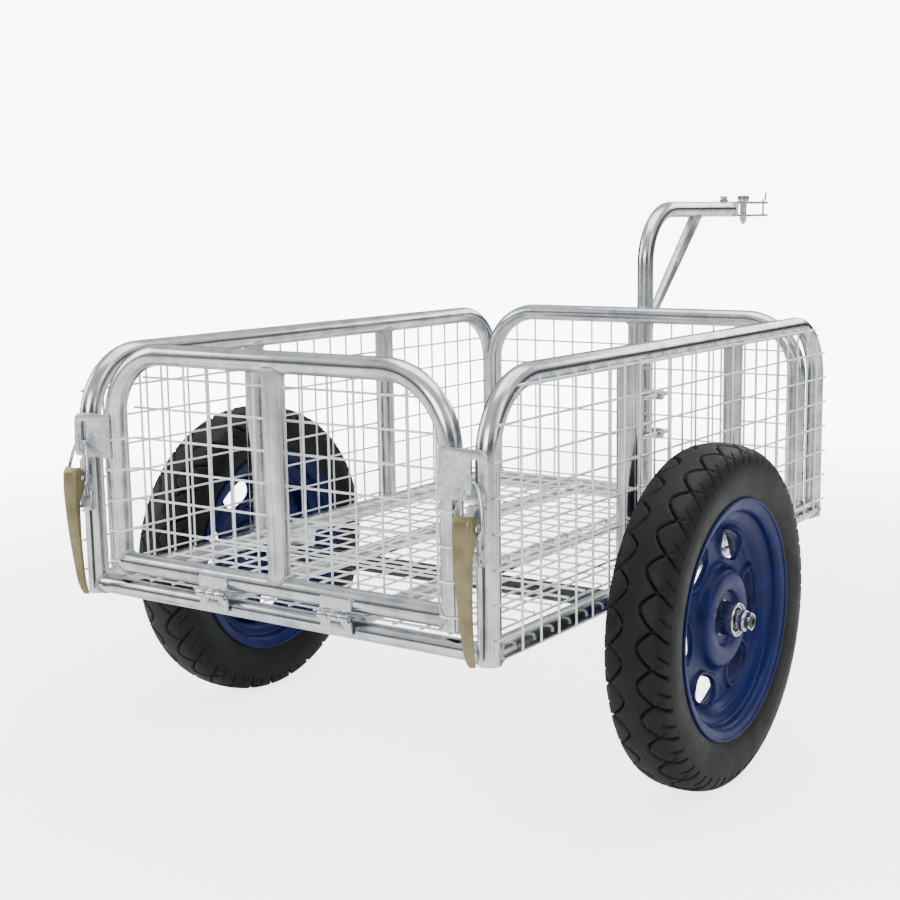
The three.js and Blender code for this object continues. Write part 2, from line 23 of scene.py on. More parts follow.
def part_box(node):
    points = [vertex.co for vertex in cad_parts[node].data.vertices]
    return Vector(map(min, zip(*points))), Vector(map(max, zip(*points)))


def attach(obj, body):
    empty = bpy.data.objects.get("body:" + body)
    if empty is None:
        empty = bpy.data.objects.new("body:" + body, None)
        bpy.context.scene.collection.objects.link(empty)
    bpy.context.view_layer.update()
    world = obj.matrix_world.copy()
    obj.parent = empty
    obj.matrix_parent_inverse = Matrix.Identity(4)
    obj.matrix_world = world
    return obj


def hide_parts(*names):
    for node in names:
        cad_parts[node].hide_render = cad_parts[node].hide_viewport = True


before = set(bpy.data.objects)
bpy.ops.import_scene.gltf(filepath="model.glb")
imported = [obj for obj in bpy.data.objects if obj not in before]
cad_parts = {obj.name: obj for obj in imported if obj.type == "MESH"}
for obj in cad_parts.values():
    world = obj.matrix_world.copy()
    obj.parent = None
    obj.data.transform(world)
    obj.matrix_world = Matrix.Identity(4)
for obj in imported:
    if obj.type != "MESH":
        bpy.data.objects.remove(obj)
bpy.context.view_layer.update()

log = logging.getLogger("cart")

MM = 0.001
TURN = 2 * math.pi
Point = Sequence[float]
Socket = bpy.types.NodeSocket
Tree = bpy.types.NodeTree
Mesh = bpy.types.Mesh
Piece = bpy.types.Object


def cad_middle(node: str) -> Vector:
    """Middle of a CAD node's box, in metres of the row frame.

    Args:
        node: name of the CAD node.

    Returns:
        The point halfway between its lowest and highest corners.
    """
    low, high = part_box(node)
    return (Vector(low) + Vector(high)) / 2


# Y of the tailgate's tubes in the row frame: the zero of every Y in this file.
GATE_PLANE = cad_middle("gate_bottom_tube").y


# ---- small mathematics ----


def unit(v: np.ndarray) -> np.ndarray:
    """Vectors along the last axis, scaled to length one."""
    return v / np.maximum(np.linalg.norm(v, axis=-1, keepdims=True), 1e-12)


def arc_path(corners: Sequence[Point], radius: float, steps: int = 14) -> np.ndarray:
    """Path through corners with each inner one rounded, as a tube bender leaves it.

    Args:
        corners: the path's corner points.
        radius: centre-line radius of every bend.
        steps: pieces in each bend.

    Returns:
        The path's points, one per row.
    """
    knots = [np.array(c, float) for c in corners]
    path = [knots[0]]
    for before, corner, after in zip(knots, knots[1:], knots[2:]):
        into = unit(corner - before)
        out = unit(after - corner)
        turn = math.acos(float(np.clip(into @ out, -1, 1)))
        side = unit(out - into * (into @ out))
        centre = corner - into * radius * math.tan(turn / 2) + side * radius
        for angle in np.linspace(0, turn, steps + 1):
            path.append(centre - side * radius * math.cos(angle) + into * radius * math.sin(angle))
    path.append(knots[-1])
    return np.array(path)


def smooth_line(points: Sequence[Point], per_span: int = 6) -> np.ndarray:
    """Smooth curve through points, by the Catmull-Rom rule.

    Args:
        points: points that the curve passes through.
        per_span: steps between two of them.

    Returns:
        The curve's points, one per row.
    """
    p = np.array(points, float)
    p = np.vstack([2 * p[0] - p[1], p, 2 * p[-1] - p[-2]])
    line = []
    for a, b, c, d in zip(p, p[1:], p[2:], p[3:]):
        for t in np.arange(per_span) / per_span:
            line.append(
                0.5 * (
                    2 * b + (c - a) * t + (2 * a - 5 * b + 4 * c - d) * t**2 + (3 * b - a - 3 * c + d) * t**3
                )
            )
    line.append(p[-2])
    return np.array(line)


def sheet_outline(line: np.ndarray, thickness: float) -> np.ndarray:
    """Closed outline of sheet metal of one thickness along its middle line."""
    normal = unit(np.gradient(line, axis=0))[:, ::-1] * (-1, 1)
    return np.vstack([line + normal * thickness / 2, (line - normal * thickness / 2)[::-1]])


def rounded(corners: Sequence[Point], radius: float | Sequence[float], steps: int = 6) -> np.ndarray:
    """Closed flat outline with its corners rounded.

    Args:
        corners: corner points in order.
        radius: one radius, or one for each corner.
        steps: pieces in each round.

    Returns:
        The outline's points, one per row.
    """
    knots = np.array(corners, float)
    radii = np.broadcast_to(np.array(radius, float), len(knots))
    outline = []
    for i, corner in enumerate(knots):
        into = corner - knots[i - 1]
        out = knots[(i + 1) % len(knots)] - corner
        reach = min(np.linalg.norm(into), np.linalg.norm(out)) / 2.01
        into, out = unit(into), unit(out)
        turn = math.acos(float(np.clip(into @ out, -1, 1)))
        back = min(radii[i] * math.tan(turn / 2), reach)
        if back < 1e-6:
            outline.append(corner)
            continue
        for t in np.linspace(0, 1, steps + 1):
            start, end = corner - into * back, corner + out * back
            outline.append((1 - t) ** 2 * start + 2 * t * (1 - t) * corner + t**2 * end)
    return np.array(outline)


def smoothstep(x: np.ndarray) -> np.ndarray:
    """0 below zero, 1 above one, and a smooth rise between."""
    t = np.clip(x, 0, 1)
    return t * t * (3 - 2 * t)


def round_angles(sides: int) -> np.ndarray:
    """Angles of evenly spaced points round a circle."""
    return TURN * np.arange(sides) / sides


def quads(
    rows: int, columns: int, loop_rows: bool = False, loop_columns: bool = True
) -> list[tuple[int, ...]]:
    """Faces between neighbouring rows of points.

    Args:
        rows: number of rows.
        columns: points in each row.
        loop_rows: whether the last row joins the first.
        loop_columns: whether each row is a ring.

    Returns:
        Point numbers of each face.
    """
    n, m = rows, columns
    return [
        (i * m + j, i * m + (j + 1) % m, (i + 1) % n * m + (j + 1) % m, (i + 1) % n * m + j)
        for i in range(n if loop_rows else n - 1)
        for j in range(m if loop_columns else m - 1)
    ]


# ---- meshes ----


class End(Enum):
    """How a tube ends."""

    OPEN = "sawn off, so that its wall and bore show"
    CLOSED = "closed flat"


@dataclass(frozen=True)
class Saddle:
    """The round tube that another tube's end is coped to.

    Attributes:
        along: direction of the tube that is met.
        radius: its outer radius.
        cut: least distance from its middle line, where the end is sawn square and not coped.
    """

    along: Point
    radius: float
    cut: float = 0.2

    def depth(self, offsets: np.ndarray, axis: np.ndarray) -> np.ndarray:
        """How far before its middle line the met tube's surface lies.

        Args:
            offsets: points of the coped end, from its own middle line.
            axis: direction of the coped tube.

        Returns:
            One distance for each offset.
        """
        across = offsets @ unit(np.cross(axis, np.array(self.along, float)))
        return np.sqrt(np.maximum(self.radius**2 - across**2, self.cut**2))


class Shell:
    """Points and faces of one piece, in millimetres of the cart's axes.

    Each point also keeps a "lie": where it would be if its tube were straight along Z. A drawn
    or rolled finish follows the lie round every bend.
    """

    def __init__(self) -> None:
        """Starts an empty shell."""
        self.points: list[np.ndarray] = []
        self.lies: list[np.ndarray] = []
        self.faces: list[tuple[int, ...]] = []
        self.count = 0

    def add(self, points: np.ndarray, faces: Sequence[Sequence[int]], lie: np.ndarray | None = None) -> None:
        """Adds points and the faces between them.

        Args:
            points: one point per row.
            faces: point numbers of each face, counted from the first of these points.
            lie: straightened places of the points, which are the points themselves if left out.
        """
        start = self.count
        self.points.append(points)
        self.lies.append(points if lie is None else lie)
        self.faces += [tuple(start + i for i in face) for face in faces]
        self.count += len(points)

    def lattice(
        self, rows: np.ndarray, loop_rows: bool = False, loop_columns: bool = True, caps: bool = False,
        lie: np.ndarray | None = None
    ) -> None:
        """Adds a surface over rows of points.

        Args:
            rows: points in an array of rows by columns by 3.
            loop_rows: whether the last row joins the first.
            loop_columns: whether each row is a ring.
            caps: whether the first and last rings are filled.
            lie: straightened places, in the same shape.
        """
        n, m = rows.shape[:2]
        faces = quads(n, m, loop_rows, loop_columns)
        if caps:
            faces.append(tuple(range(m))[::-1])
            faces.append(tuple(range((n - 1) * m, n * m)))
        self.add(rows.reshape(-1, 3), faces, None if lie is None else lie.reshape(-1, 3))

    def tube(
        self, path: np.ndarray, radius: float | np.ndarray, up: Point,
        ends: tuple[End, End] = (End.CLOSED, End.CLOSED), sides: int = 32, wall: float = 1.8
    ) -> None:
        """Sweeps a round section along a path.

        Args:
            path: middle line of the tube.
            radius: outer radius, or one for each point of the path.
            up: a direction across the whole path.
            ends: how the tube starts and ends.
            sides: facets round the section.
            wall: thickness that shows at an open end.
        """
        path = np.array(path, float)
        radii = np.broadcast_to(np.array(radius, float), len(path))
        along = unit(np.gradient(path, axis=0))
        side = unit(np.cross(along, np.array(up, float)))
        normal = np.cross(side, along)
        angle = round_angles(sides)
        section = np.cos(
            angle
        )[None, :, None] * normal[:, None] + np.sin(angle)[None, :, None] * side[:, None]
        rings = path[:, None] + radii[:, None, None] * section
        length = np.concatenate([[0], np.cumsum(np.linalg.norm(np.diff(path, axis=0), axis=1))])
        lie = np.stack(
            [
                radii[:, None] * np.cos(angle)[None], radii[:, None] * np.sin(angle)[None],
                np.broadcast_to(length[:, None], (len(path), sides))
            ],
            axis=2,
        )
        for index, inward in ((0, 1), (-1, -1)):
            if ends[index] is End.OPEN:
                bore = radii[index] - wall
                near = path[index] + bore * section[index]
                deep = near + inward * along[index] * 40
                extra = np.stack([near, deep])
                stack, flat = (extra[::-1], lie[[0, 0]]) if index == 0 else (extra, lie[[-1, -1]])
                parts = (stack, rings) if index == 0 else (rings, stack)
                lies = (flat, lie) if index == 0 else (lie, flat)
                rings, lie = np.concatenate(parts), np.concatenate(lies)
        self.lattice(rings, caps=True, lie=lie)

    def coped_tube(
        self, start: Point, end: Point, radius: float, saddles: tuple[Saddle | None, Saddle | None],
        sides: int = 32
    ) -> None:
        """Adds a straight tube whose ends are cut to fit round the tubes that they meet.

        Args:
            start: where its middle line meets the first tube's middle line.
            end: where it meets the last tube's.
            radius: outer radius.
            saddles: the tubes that are met, or None for a flat end.
            sides: facets round the section.
        """
        first, last = np.array(start, float), np.array(end, float)
        axis = unit(last - first)
        helper = np.array((0.0, 0.0, 1.0)) if abs(axis[2]) < 0.9 else np.array((1.0, 0.0, 0.0))
        side = unit(np.cross(axis, helper))
        normal = np.cross(side, axis)
        angle = round_angles(sides)
        offsets = radius * (np.cos(angle)[:, None] * normal + np.sin(angle)[:, None] * side)
        length = float(np.linalg.norm(last - first))
        trims = [np.zeros(sides) if s is None else s.depth(offsets, axis) for s in saddles]
        near = trims[0][:, None]
        far = length - trims[1][:, None]
        steps = np.linspace(0, 1, 6)[:, None, None]
        reach = near[None] * (1 - steps) + far[None] * steps
        rings = first + offsets[None] + reach * axis
        flat = np.stack([radius * np.cos(angle), radius * np.sin(angle), np.zeros(sides)], axis=1)
        lie = flat[None] + reach * np.array((0.0, 0.0, 1.0))
        self.lattice(rings, caps=True, lie=lie)

    def turned(
        self, outline: np.ndarray, centre: Point, axis: int = 0, sign: float = 1, sides: int = 64
    ) -> None:
        """Turns a closed outline about a level or upright axis.

        Args:
            outline: points of [distance along the axis, radius].
            centre: a point on the axis.
            axis: 0, 1 or 2 for X, Y or Z.
            sign: 1 or -1, the way that the outline's first number runs.
            sides: facets round the axis.
        """
        outline = np.array(outline, float)
        angle = round_angles(sides)
        u, v = (axis + 1) % 3, (axis + 2) % 3
        rows = np.zeros((sides, len(outline), 3))
        rows[:, :, axis] = sign * outline[None, :, 0]
        rows[:, :, u] = np.cos(angle)[:, None] * outline[None, :, 1]
        rows[:, :, v] = np.sin(angle)[:, None] * outline[None, :, 1]
        self.lattice(rows + np.array(centre, float), loop_rows=True)

    def rod(self, start: Point, end: Point, radius: float, chamfer: float = 0.5, sides: int = 24) -> None:
        """Adds a solid bar with its end edges broken."""
        a, b = np.array(start, float), np.array(end, float)
        axis = unit(b - a)
        up = (0, 0, 1) if abs(axis[2]) < 0.9 else (1, 0, 0)
        path = np.array([a, a + axis * chamfer, b - axis * chamfer, b])
        self.tube(path, np.array([radius - chamfer, radius, radius, radius - chamfer]), up, sides=sides)

    def plate(
        self, outline: np.ndarray, thickness: float, origin: Point, u: Point, v: Point,
        holes: Sequence[np.ndarray] = (), edge: float = 0.4
    ) -> None:
        """Adds a flat plate with broken edges.

        Args:
            outline: closed outline of [u, v] points.
            thickness: from face to face.
            origin: where u and v are zero, on the plate's middle plane.
            u: direction of the outline's first number.
            v: direction of its second number.
            holes: closed outlines of its holes.
            edge: how far the edges are rounded.
        """
        drawing = bpy.data.curves.new("drawing", "CURVE")
        drawing.dimensions = "2D"
        drawing.fill_mode = "BOTH"
        drawing.extrude = thickness / 2 - edge
        drawing.bevel_depth = edge
        drawing.bevel_resolution = 1
        drawing.offset = -edge
        for loop in (outline, *holes):
            spline = drawing.splines.new("POLY")
            spline.points.add(len(loop) - 1)
            for point, (x, y) in zip(spline.points, loop):
                point.co = (x, y, 0, 1)
            spline.use_cyclic_u = True
        blank = bpy.data.objects.new("drawing", drawing)
        bpy.context.scene.collection.objects.link(blank)
        mesh = bpy.data.meshes.new_from_object(blank.evaluated_get(bpy.context.evaluated_depsgraph_get()))
        flat = np.zeros(len(mesh.vertices) * 3)
        mesh.vertices.foreach_get("co", flat)
        faces = [tuple(face.vertices) for face in mesh.polygons]
        bpy.data.objects.remove(blank)
        bpy.data.curves.remove(drawing)
        bpy.data.meshes.remove(mesh)
        u_axis, v_axis = np.array(u, float), np.array(v, float)
        basis = np.stack([u_axis, v_axis, np.cross(u_axis, v_axis)])
        self.add(flat.reshape(-1, 3) @ basis + np.array(origin, float), faces)

    def hexagon(self, centre: Point, axis: int, across: float, height: float, bore: float = 0.0) -> None:
        """Adds a chamfered hexagon nut or bolt head.

        Args:
            centre: its middle.
            axis: 0, 1 or 2 for the axis that it turns about.
            across: distance across its flats.
            height: along its axis.
            bore: radius of its hole, or 0 for none.
        """
        sides = 48
        angle = round_angles(sides)
        flat = across / 2 / np.cos((angle + TURN / 12) % (TURN / 6) - TURN / 12)
        round_r = across / 2 * 1.03
        half = height / 2
        rings = [(-half, np.minimum(flat, round_r)), (-half + across * 0.06, flat)]
        rings += [(half - across * 0.06, flat), (half, np.minimum(flat, round_r))]
        if bore:
            hole = np.full(sides, bore)
            rings = [(-half + 0.6, hole), (-half, hole + 0.6), *rings, (half, hole + 0.6), (half - 0.6, hole)]
        u, v = (axis + 1) % 3, (axis + 2) % 3
        rows = np.zeros((len(rings), sides, 3))
        for row, (along, radius) in zip(rows, rings):
            row[:, axis] = along
            row[:, u] = radius * np.cos(angle)
            row[:, v] = radius * np.sin(angle)
        self.lattice(rows + np.array(centre, float), loop_rows=bool(bore), caps=not bore)

    def mesh(self, name: str, crease: float = 32) -> Mesh:
        """Makes the mesh in metres of the row frame, closed and facing outwards.

        Args:
            name: name of the mesh.
            crease: edges sharper than this many degrees stay sharp.

        Returns:
            The new mesh.
        """
        points = np.concatenate(self.points)
        lies = np.concatenate(self.lies)
        mesh = bpy.data.meshes.new(name)
        mesh.from_pydata((points * MM + (0, GATE_PLANE, 0)).tolist(), [], self.faces)
        attribute = mesh.attributes.new("lie", "FLOAT_VECTOR", "POINT")
        attribute.data.foreach_set("vector", (lies * MM).ravel())
        close_up(mesh, crease)
        return mesh


def close_up(mesh: Mesh, crease: float) -> None:
    """Merges a mesh's doubles, turns its faces outwards and shades it.

    Args:
        mesh: the mesh, in metres.
        crease: edges sharper than this many degrees stay sharp.
    """
    work = bmesh.new()
    work.from_mesh(mesh)
    bmesh.ops.remove_doubles(work, verts=work.verts, dist=2e-6)
    bmesh.ops.dissolve_degenerate(work, edges=work.edges, dist=1e-6)
    bmesh.ops.recalc_face_normals(work, faces=work.faces)
    work.to_mesh(mesh)
    work.free()
    mesh.shade_smooth()
    mesh.set_sharp_from_angle(angle=math.radians(crease))


# ---- node trees ----


def add_node(tree: Tree, kind: str, inputs: dict | None = None, **settings: object) -> bpy.types.Node:
    """Adds a node with its settings and links.

    Args:
        tree: tree that the node goes in.
        kind: Blender's name for the node's type.
        inputs: for each input's name or number, a value or the socket that it is linked from.
        settings: the node's own properties.

    Returns:
        The new node.
    """
    node = tree.nodes.new(kind)
    for key, value in settings.items():
        setattr(node, key, value)
    for key, value in (inputs or {}).items():
        if isinstance(value, Socket):
            tree.links.new(value, node.inputs[key])
        else:
            node.inputs[key].default_value = value
    return node


def new_tree(name: str, inputs: Sequence[tuple[str, str]]) -> tuple[Tree, dict, bpy.types.Node]:
    """Starts a Geometry Nodes tree.

    Args:
        name: name of the tree.
        inputs: name and socket type of each input after the geometry.

    Returns:
        The tree, its input sockets by name, and its output node.
    """
    tree = bpy.data.node_groups.new(name, "GeometryNodeTree")
    tree.interface.new_socket("Geometry", in_out="INPUT", socket_type="NodeSocketGeometry")
    for label, kind in inputs:
        tree.interface.new_socket(label, in_out="INPUT", socket_type=kind)
    tree.interface.new_socket("Geometry", in_out="OUTPUT", socket_type="NodeSocketGeometry")
    sockets = {s.name: s for s in tree.nodes.new("NodeGroupInput").outputs}
    return tree, sockets, tree.nodes.new("NodeGroupOutput")


def finish_tree(tree: Tree, geometry: Socket, material: Socket, out: bpy.types.Node) -> None:
    """Ends a tree in Realize Instances and Set Material."""
    real = add_node(tree, "GeometryNodeRealizeInstances", {"Geometry": geometry})
    dressed = add_node(tree, "GeometryNodeSetMaterial", {"Geometry": real.outputs[0], "Material": material})
    tree.links.new(dressed.outputs[0], out.inputs[0])


def run_tree(tree: Tree, base: Mesh, values: dict[str, object]) -> Mesh:
    """Runs a Geometry Nodes tree on a mesh.

    Args:
        tree: the tree.
        base: mesh that the tree starts from.
        values: a value for each named input.

    Returns:
        The result as a plain mesh.
    """
    carrier = bpy.data.objects.new("carrier", base)
    bpy.context.scene.collection.objects.link(carrier)
    modifier = carrier.modifiers.new(tree.name, "NODES")
    modifier.node_group = tree
    for item in tree.interface.items_tree:
        if item.in_out == "INPUT" and item.name in values:
            modifier[item.identifier] = values[item.name]
    graph = bpy.context.evaluated_depsgraph_get()
    result = bpy.data.meshes.new_from_object(carrier.evaluated_get(graph))
    carrier.modifiers.remove(modifier)
    bpy.data.objects.remove(carrier)
    return result


class GridTree:
    """Geometry Nodes tree of a welded wire grid under a bent hoop."""

    INPUTS = (
        ("Width", "NodeSocketFloat"),
        ("Height", "NodeSocketFloat"),
        ("Corner", "NodeSocketFloat"),
        ("Wire radius", "NodeSocketFloat"),
        ("First column", "NodeSocketFloat"),
        ("Column pitch", "NodeSocketFloat"),
        ("Columns", "NodeSocketInt"),
        ("First row", "NodeSocketFloat"),
        ("Row pitch", "NodeSocketFloat"),
        ("Rows", "NodeSocketInt"),
        ("Overhang", "NodeSocketFloat"),
        ("Foot", "NodeSocketFloat"),
        ("Material", "NodeSocketMaterial"),
    )

    def __init__(self) -> None:
        """Builds the tree."""
        self.tree, self.given, out = new_tree("Welded wire grid", self.INPUTS)
        uprights = self.uprights()
        levels = self.levels()
        both = add_node(self.tree, "GeometryNodeJoinGeometry")
        self.tree.links.new(uprights, both.inputs[0])
        self.tree.links.new(levels, both.inputs[0])
        finish_tree(self.tree, both.outputs[0], self.given["Material"], out)

    def sum(self, operation: str, a: object, b: object = 0.0) -> Socket:
        """Result of one step of arithmetic on two sockets or numbers."""
        return add_node(self.tree, "ShaderNodeMath", {0: a, 1: b}, operation=operation).outputs[0]

    def wire(self) -> Socket:
        """A wire one unit long, standing on the origin."""
        bar = add_node(
            self.tree, "GeometryNodeMeshCylinder",
            {"Vertices": 12, "Radius": self.given["Wire radius"], "Depth": 1.0}
        )
        lifted = add_node(
            self.tree, "GeometryNodeTransform", {"Geometry": bar.outputs["Mesh"], "Translation": (0, 0, 0.5)}
        )
        return lifted.outputs[0]

    def inset(self, past: Socket) -> Socket:
        """How much the hoop's corner shortens a wire that lies past the start of the bend.

        Args:
            past: distance past the start of the bend, at least zero.

        Returns:
            Corner - sqrt(Corner^2 - past^2).
        """
        corner = self.given["Corner"]
        square = self.sum("SUBTRACT", self.sum("MULTIPLY", corner, corner), self.sum("MULTIPLY", past, past))
        return self.sum("SUBTRACT", corner, self.sum("SQRT", self.sum("MAXIMUM", square, 0.0)))

    def row_of_points(self, count: str, start: dict, step: dict) -> Socket:
        """Points in a row: count is an input's name, start and step are inputs of Combine XYZ.

        Args:
            count: name of the input that holds the number of points.
            start: inputs of the Combine XYZ node for the first point.
            step: inputs of the Combine XYZ node for the step.

        Returns:
            The points.
        """
        line = add_node(
            self.tree,
            "GeometryNodeMeshLine",
            {
                "Count": self.given[count],
                "Start Location": add_node(self.tree, "ShaderNodeCombineXYZ", start).outputs[0],
                "Offset": add_node(self.tree, "ShaderNodeCombineXYZ", step).outputs[0],
            },
        )
        return line.outputs[0]

    def place(self) -> bpy.types.Node:
        """X, Y and Z of each point."""
        position = add_node(self.tree, "GeometryNodeInputPosition")
        return add_node(self.tree, "ShaderNodeSeparateXYZ", {0: position.outputs[0]})

    def uprights(self) -> Socket:
        """The upright wires, each as long as the hoop above it allows."""
        given = self.given
        layer = self.sum("MULTIPLY", given["Wire radius"], 1.9)
        points = self.row_of_points(
            "Columns", {"X": given["First column"], "Y": layer, "Z": given["Foot"] },
            {"X": given["Column pitch"]}
        )
        x = self.place().outputs["X"]
        edge = self.sum("MINIMUM", x, self.sum("SUBTRACT", given["Width"], x))
        past = self.sum("MAXIMUM", self.sum("SUBTRACT", given["Corner"], edge), 0.0)
        top = self.sum("SUBTRACT", given["Height"], self.inset(past))
        length = self.sum("SUBTRACT", top, given["Foot"])
        scale = add_node(self.tree, "ShaderNodeCombineXYZ", {"X": 1.0, "Y": 1.0, "Z": length})
        return add_node(
            self.tree, "GeometryNodeInstanceOnPoints",
            {"Points": points, "Instance": self.wire(), "Scale": scale.outputs[0]}
        ).outputs[0]

    def levels(self) -> Socket:
        """The level wires, which reach past the legs by the overhang."""
        given = self.given
        points = self.row_of_points("Rows", {"Z": given["First row"]}, {"Z": given["Row pitch"]})
        z = self.place().outputs["Z"]
        bend_start = self.sum("SUBTRACT", given["Height"], given["Corner"])
        inset = self.inset(self.sum("MAXIMUM", self.sum("SUBTRACT", z, bend_start), 0.0))
        start = self.sum("SUBTRACT", inset, given["Overhang"])
        length = self.sum("SUBTRACT", given["Width"], self.sum("MULTIPLY", start, 2.0))
        offset = add_node(self.tree, "ShaderNodeCombineXYZ", {"X": start})
        moved = add_node(
            self.tree, "GeometryNodeSetPosition", {"Geometry": points, "Offset": offset.outputs[0]}
        )
        scale = add_node(self.tree, "ShaderNodeCombineXYZ", {"X": 1.0, "Y": 1.0, "Z": length})
        return add_node(
            self.tree,
            "GeometryNodeInstanceOnPoints",
            {
                "Points": moved.outputs[0], "Instance": self.wire(), "Rotation": (0.0, math.pi / 2, 0.0),
                "Scale": scale.outputs[0]
            },
        ).outputs[0]


class RoundTree:
    """Geometry Nodes tree that repeats one sector of a wheel about the X axis."""

    INPUTS = (("Count", "NodeSocketInt"), ("Merge", "NodeSocketFloat"), ("Material", "NodeSocketMaterial"))

    def __init__(self) -> None:
        """Builds the tree."""
        self.tree, given, out = new_tree("Sectors of a wheel", self.INPUTS)
        sector = add_node(self.tree, "GeometryNodeGeometryToInstance")
        self.tree.links.new(given["Geometry"], sector.inputs[0])
        points = add_node(
            self.tree, "GeometryNodeMeshLine", {"Count": given["Count"], "Offset": (0.0, 0.0, 0.0)}
        )
        index = add_node(self.tree, "GeometryNodeInputIndex")
        share = add_node(self.tree, "ShaderNodeMath", {0: TURN, 1: given["Count"]}, operation="DIVIDE")
        angle = add_node(
            self.tree, "ShaderNodeMath", {0: index.outputs[0], 1: share.outputs[0]}, operation="MULTIPLY"
        )
        turn = add_node(self.tree, "ShaderNodeCombineXYZ", {"X": angle.outputs[0]})
        ring = add_node(
            self.tree, "GeometryNodeInstanceOnPoints",
            {"Points": points.outputs[0], "Instance": sector.outputs[0], "Rotation": turn.outputs[0]}
        )
        real = add_node(self.tree, "GeometryNodeRealizeInstances", {0: ring.outputs[0]})
        whole = add_node(
            self.tree, "GeometryNodeMergeByDistance",
            {"Geometry": real.outputs[0], "Distance": given["Merge"] }
        )
        finish_tree(self.tree, whole.outputs[0], given["Material"], out)


class BeadTree:
    """Geometry Nodes tree that lays a rippled weld bead along each edge loop of a mesh."""

    INPUTS = (
        ("Bead radius", "NodeSocketFloat"),
        ("Ripple pitch", "NodeSocketFloat"),
        ("Seed", "NodeSocketFloat"),
        ("Material", "NodeSocketMaterial"),
    )

    def __init__(self) -> None:
        """Builds the tree."""
        self.tree, given, out = new_tree("Weld bead", self.INPUTS)
        tree = self.tree
        curve = add_node(tree, "GeometryNodeMeshToCurve")
        tree.links.new(given["Geometry"], curve.inputs[0])
        along = add_node(tree, "GeometryNodeSplineParameter").outputs["Length"]
        waves = add_node(tree, "ShaderNodeMath", {0: along, 1: given["Ripple pitch"]}, operation="DIVIDE")
        phase = add_node(tree, "ShaderNodeMath", {0: waves.outputs[0], 1: TURN}, operation="MULTIPLY")
        ripple = add_node(tree, "ShaderNodeMath", {0: phase.outputs[0]}, operation="SINE")
        noise = add_node(
            tree, "ShaderNodeTexNoise", {"W": given["Seed"], "Scale": 140.0}, noise_dimensions="4D"
        )
        mixed = add_node(
            tree, "ShaderNodeMath", {0: ripple.outputs[0], 1: 0.13, 2: 0.55}, operation="MULTIPLY_ADD"
        )
        uneven = add_node(
            tree, "ShaderNodeMath", {0: noise.outputs[0], 1: 0.9, 2: mixed.outputs[0] },
            operation="MULTIPLY_ADD"
        )
        radius = add_node(
            tree, "ShaderNodeMath", {0: uneven.outputs[0], 1: given["Bead radius"]}, operation="MULTIPLY"
        )
        sized = add_node(
            tree, "GeometryNodeSetCurveRadius", {"Curve": curve.outputs[0], "Radius": radius.outputs[0]}
        )
        section = add_node(tree, "GeometryNodeCurvePrimitiveCircle", {"Resolution": 9, "Radius": 1.0})
        bead = add_node(
            tree, "GeometryNodeCurveToMesh",
            {"Curve": sized.outputs[0], "Profile Curve": section.outputs[0], "Fill Caps": True}
        )
        if "Scale" in bead.inputs:
            tree.links.new(radius.outputs[0], bead.inputs["Scale"])
        finish_tree(tree, bead.outputs[0], given["Material"], out)


# ---- finishes ----


def linear(code: str) -> tuple[float, float, float, float]:
    """Linear colour of an sRGB hex code.

    Args:
        code: six hex digits, with or without a leading #.

    Returns:
        Red, green, blue and an alpha of one.
    """
    raw = code.lstrip("#")
    parts = [int(raw[i : i + 2], 16) / 255 for i in (0, 2, 4)]
    r, g, b = (c / 12.92 if c <= 0.04045 else ((c + 0.055) / 1.055) ** 2.4 for c in parts)
    return (r, g, b, 1.0)


def per_metre(size_mm: float) -> float:
    """Texture scale that makes one unit of a pattern this many millimetres long."""
    return 1 / (size_mm * MM)


class Where(Enum):
    """What a finish's pattern lies along."""

    LIE = "lie"
    OBJECT = "object"


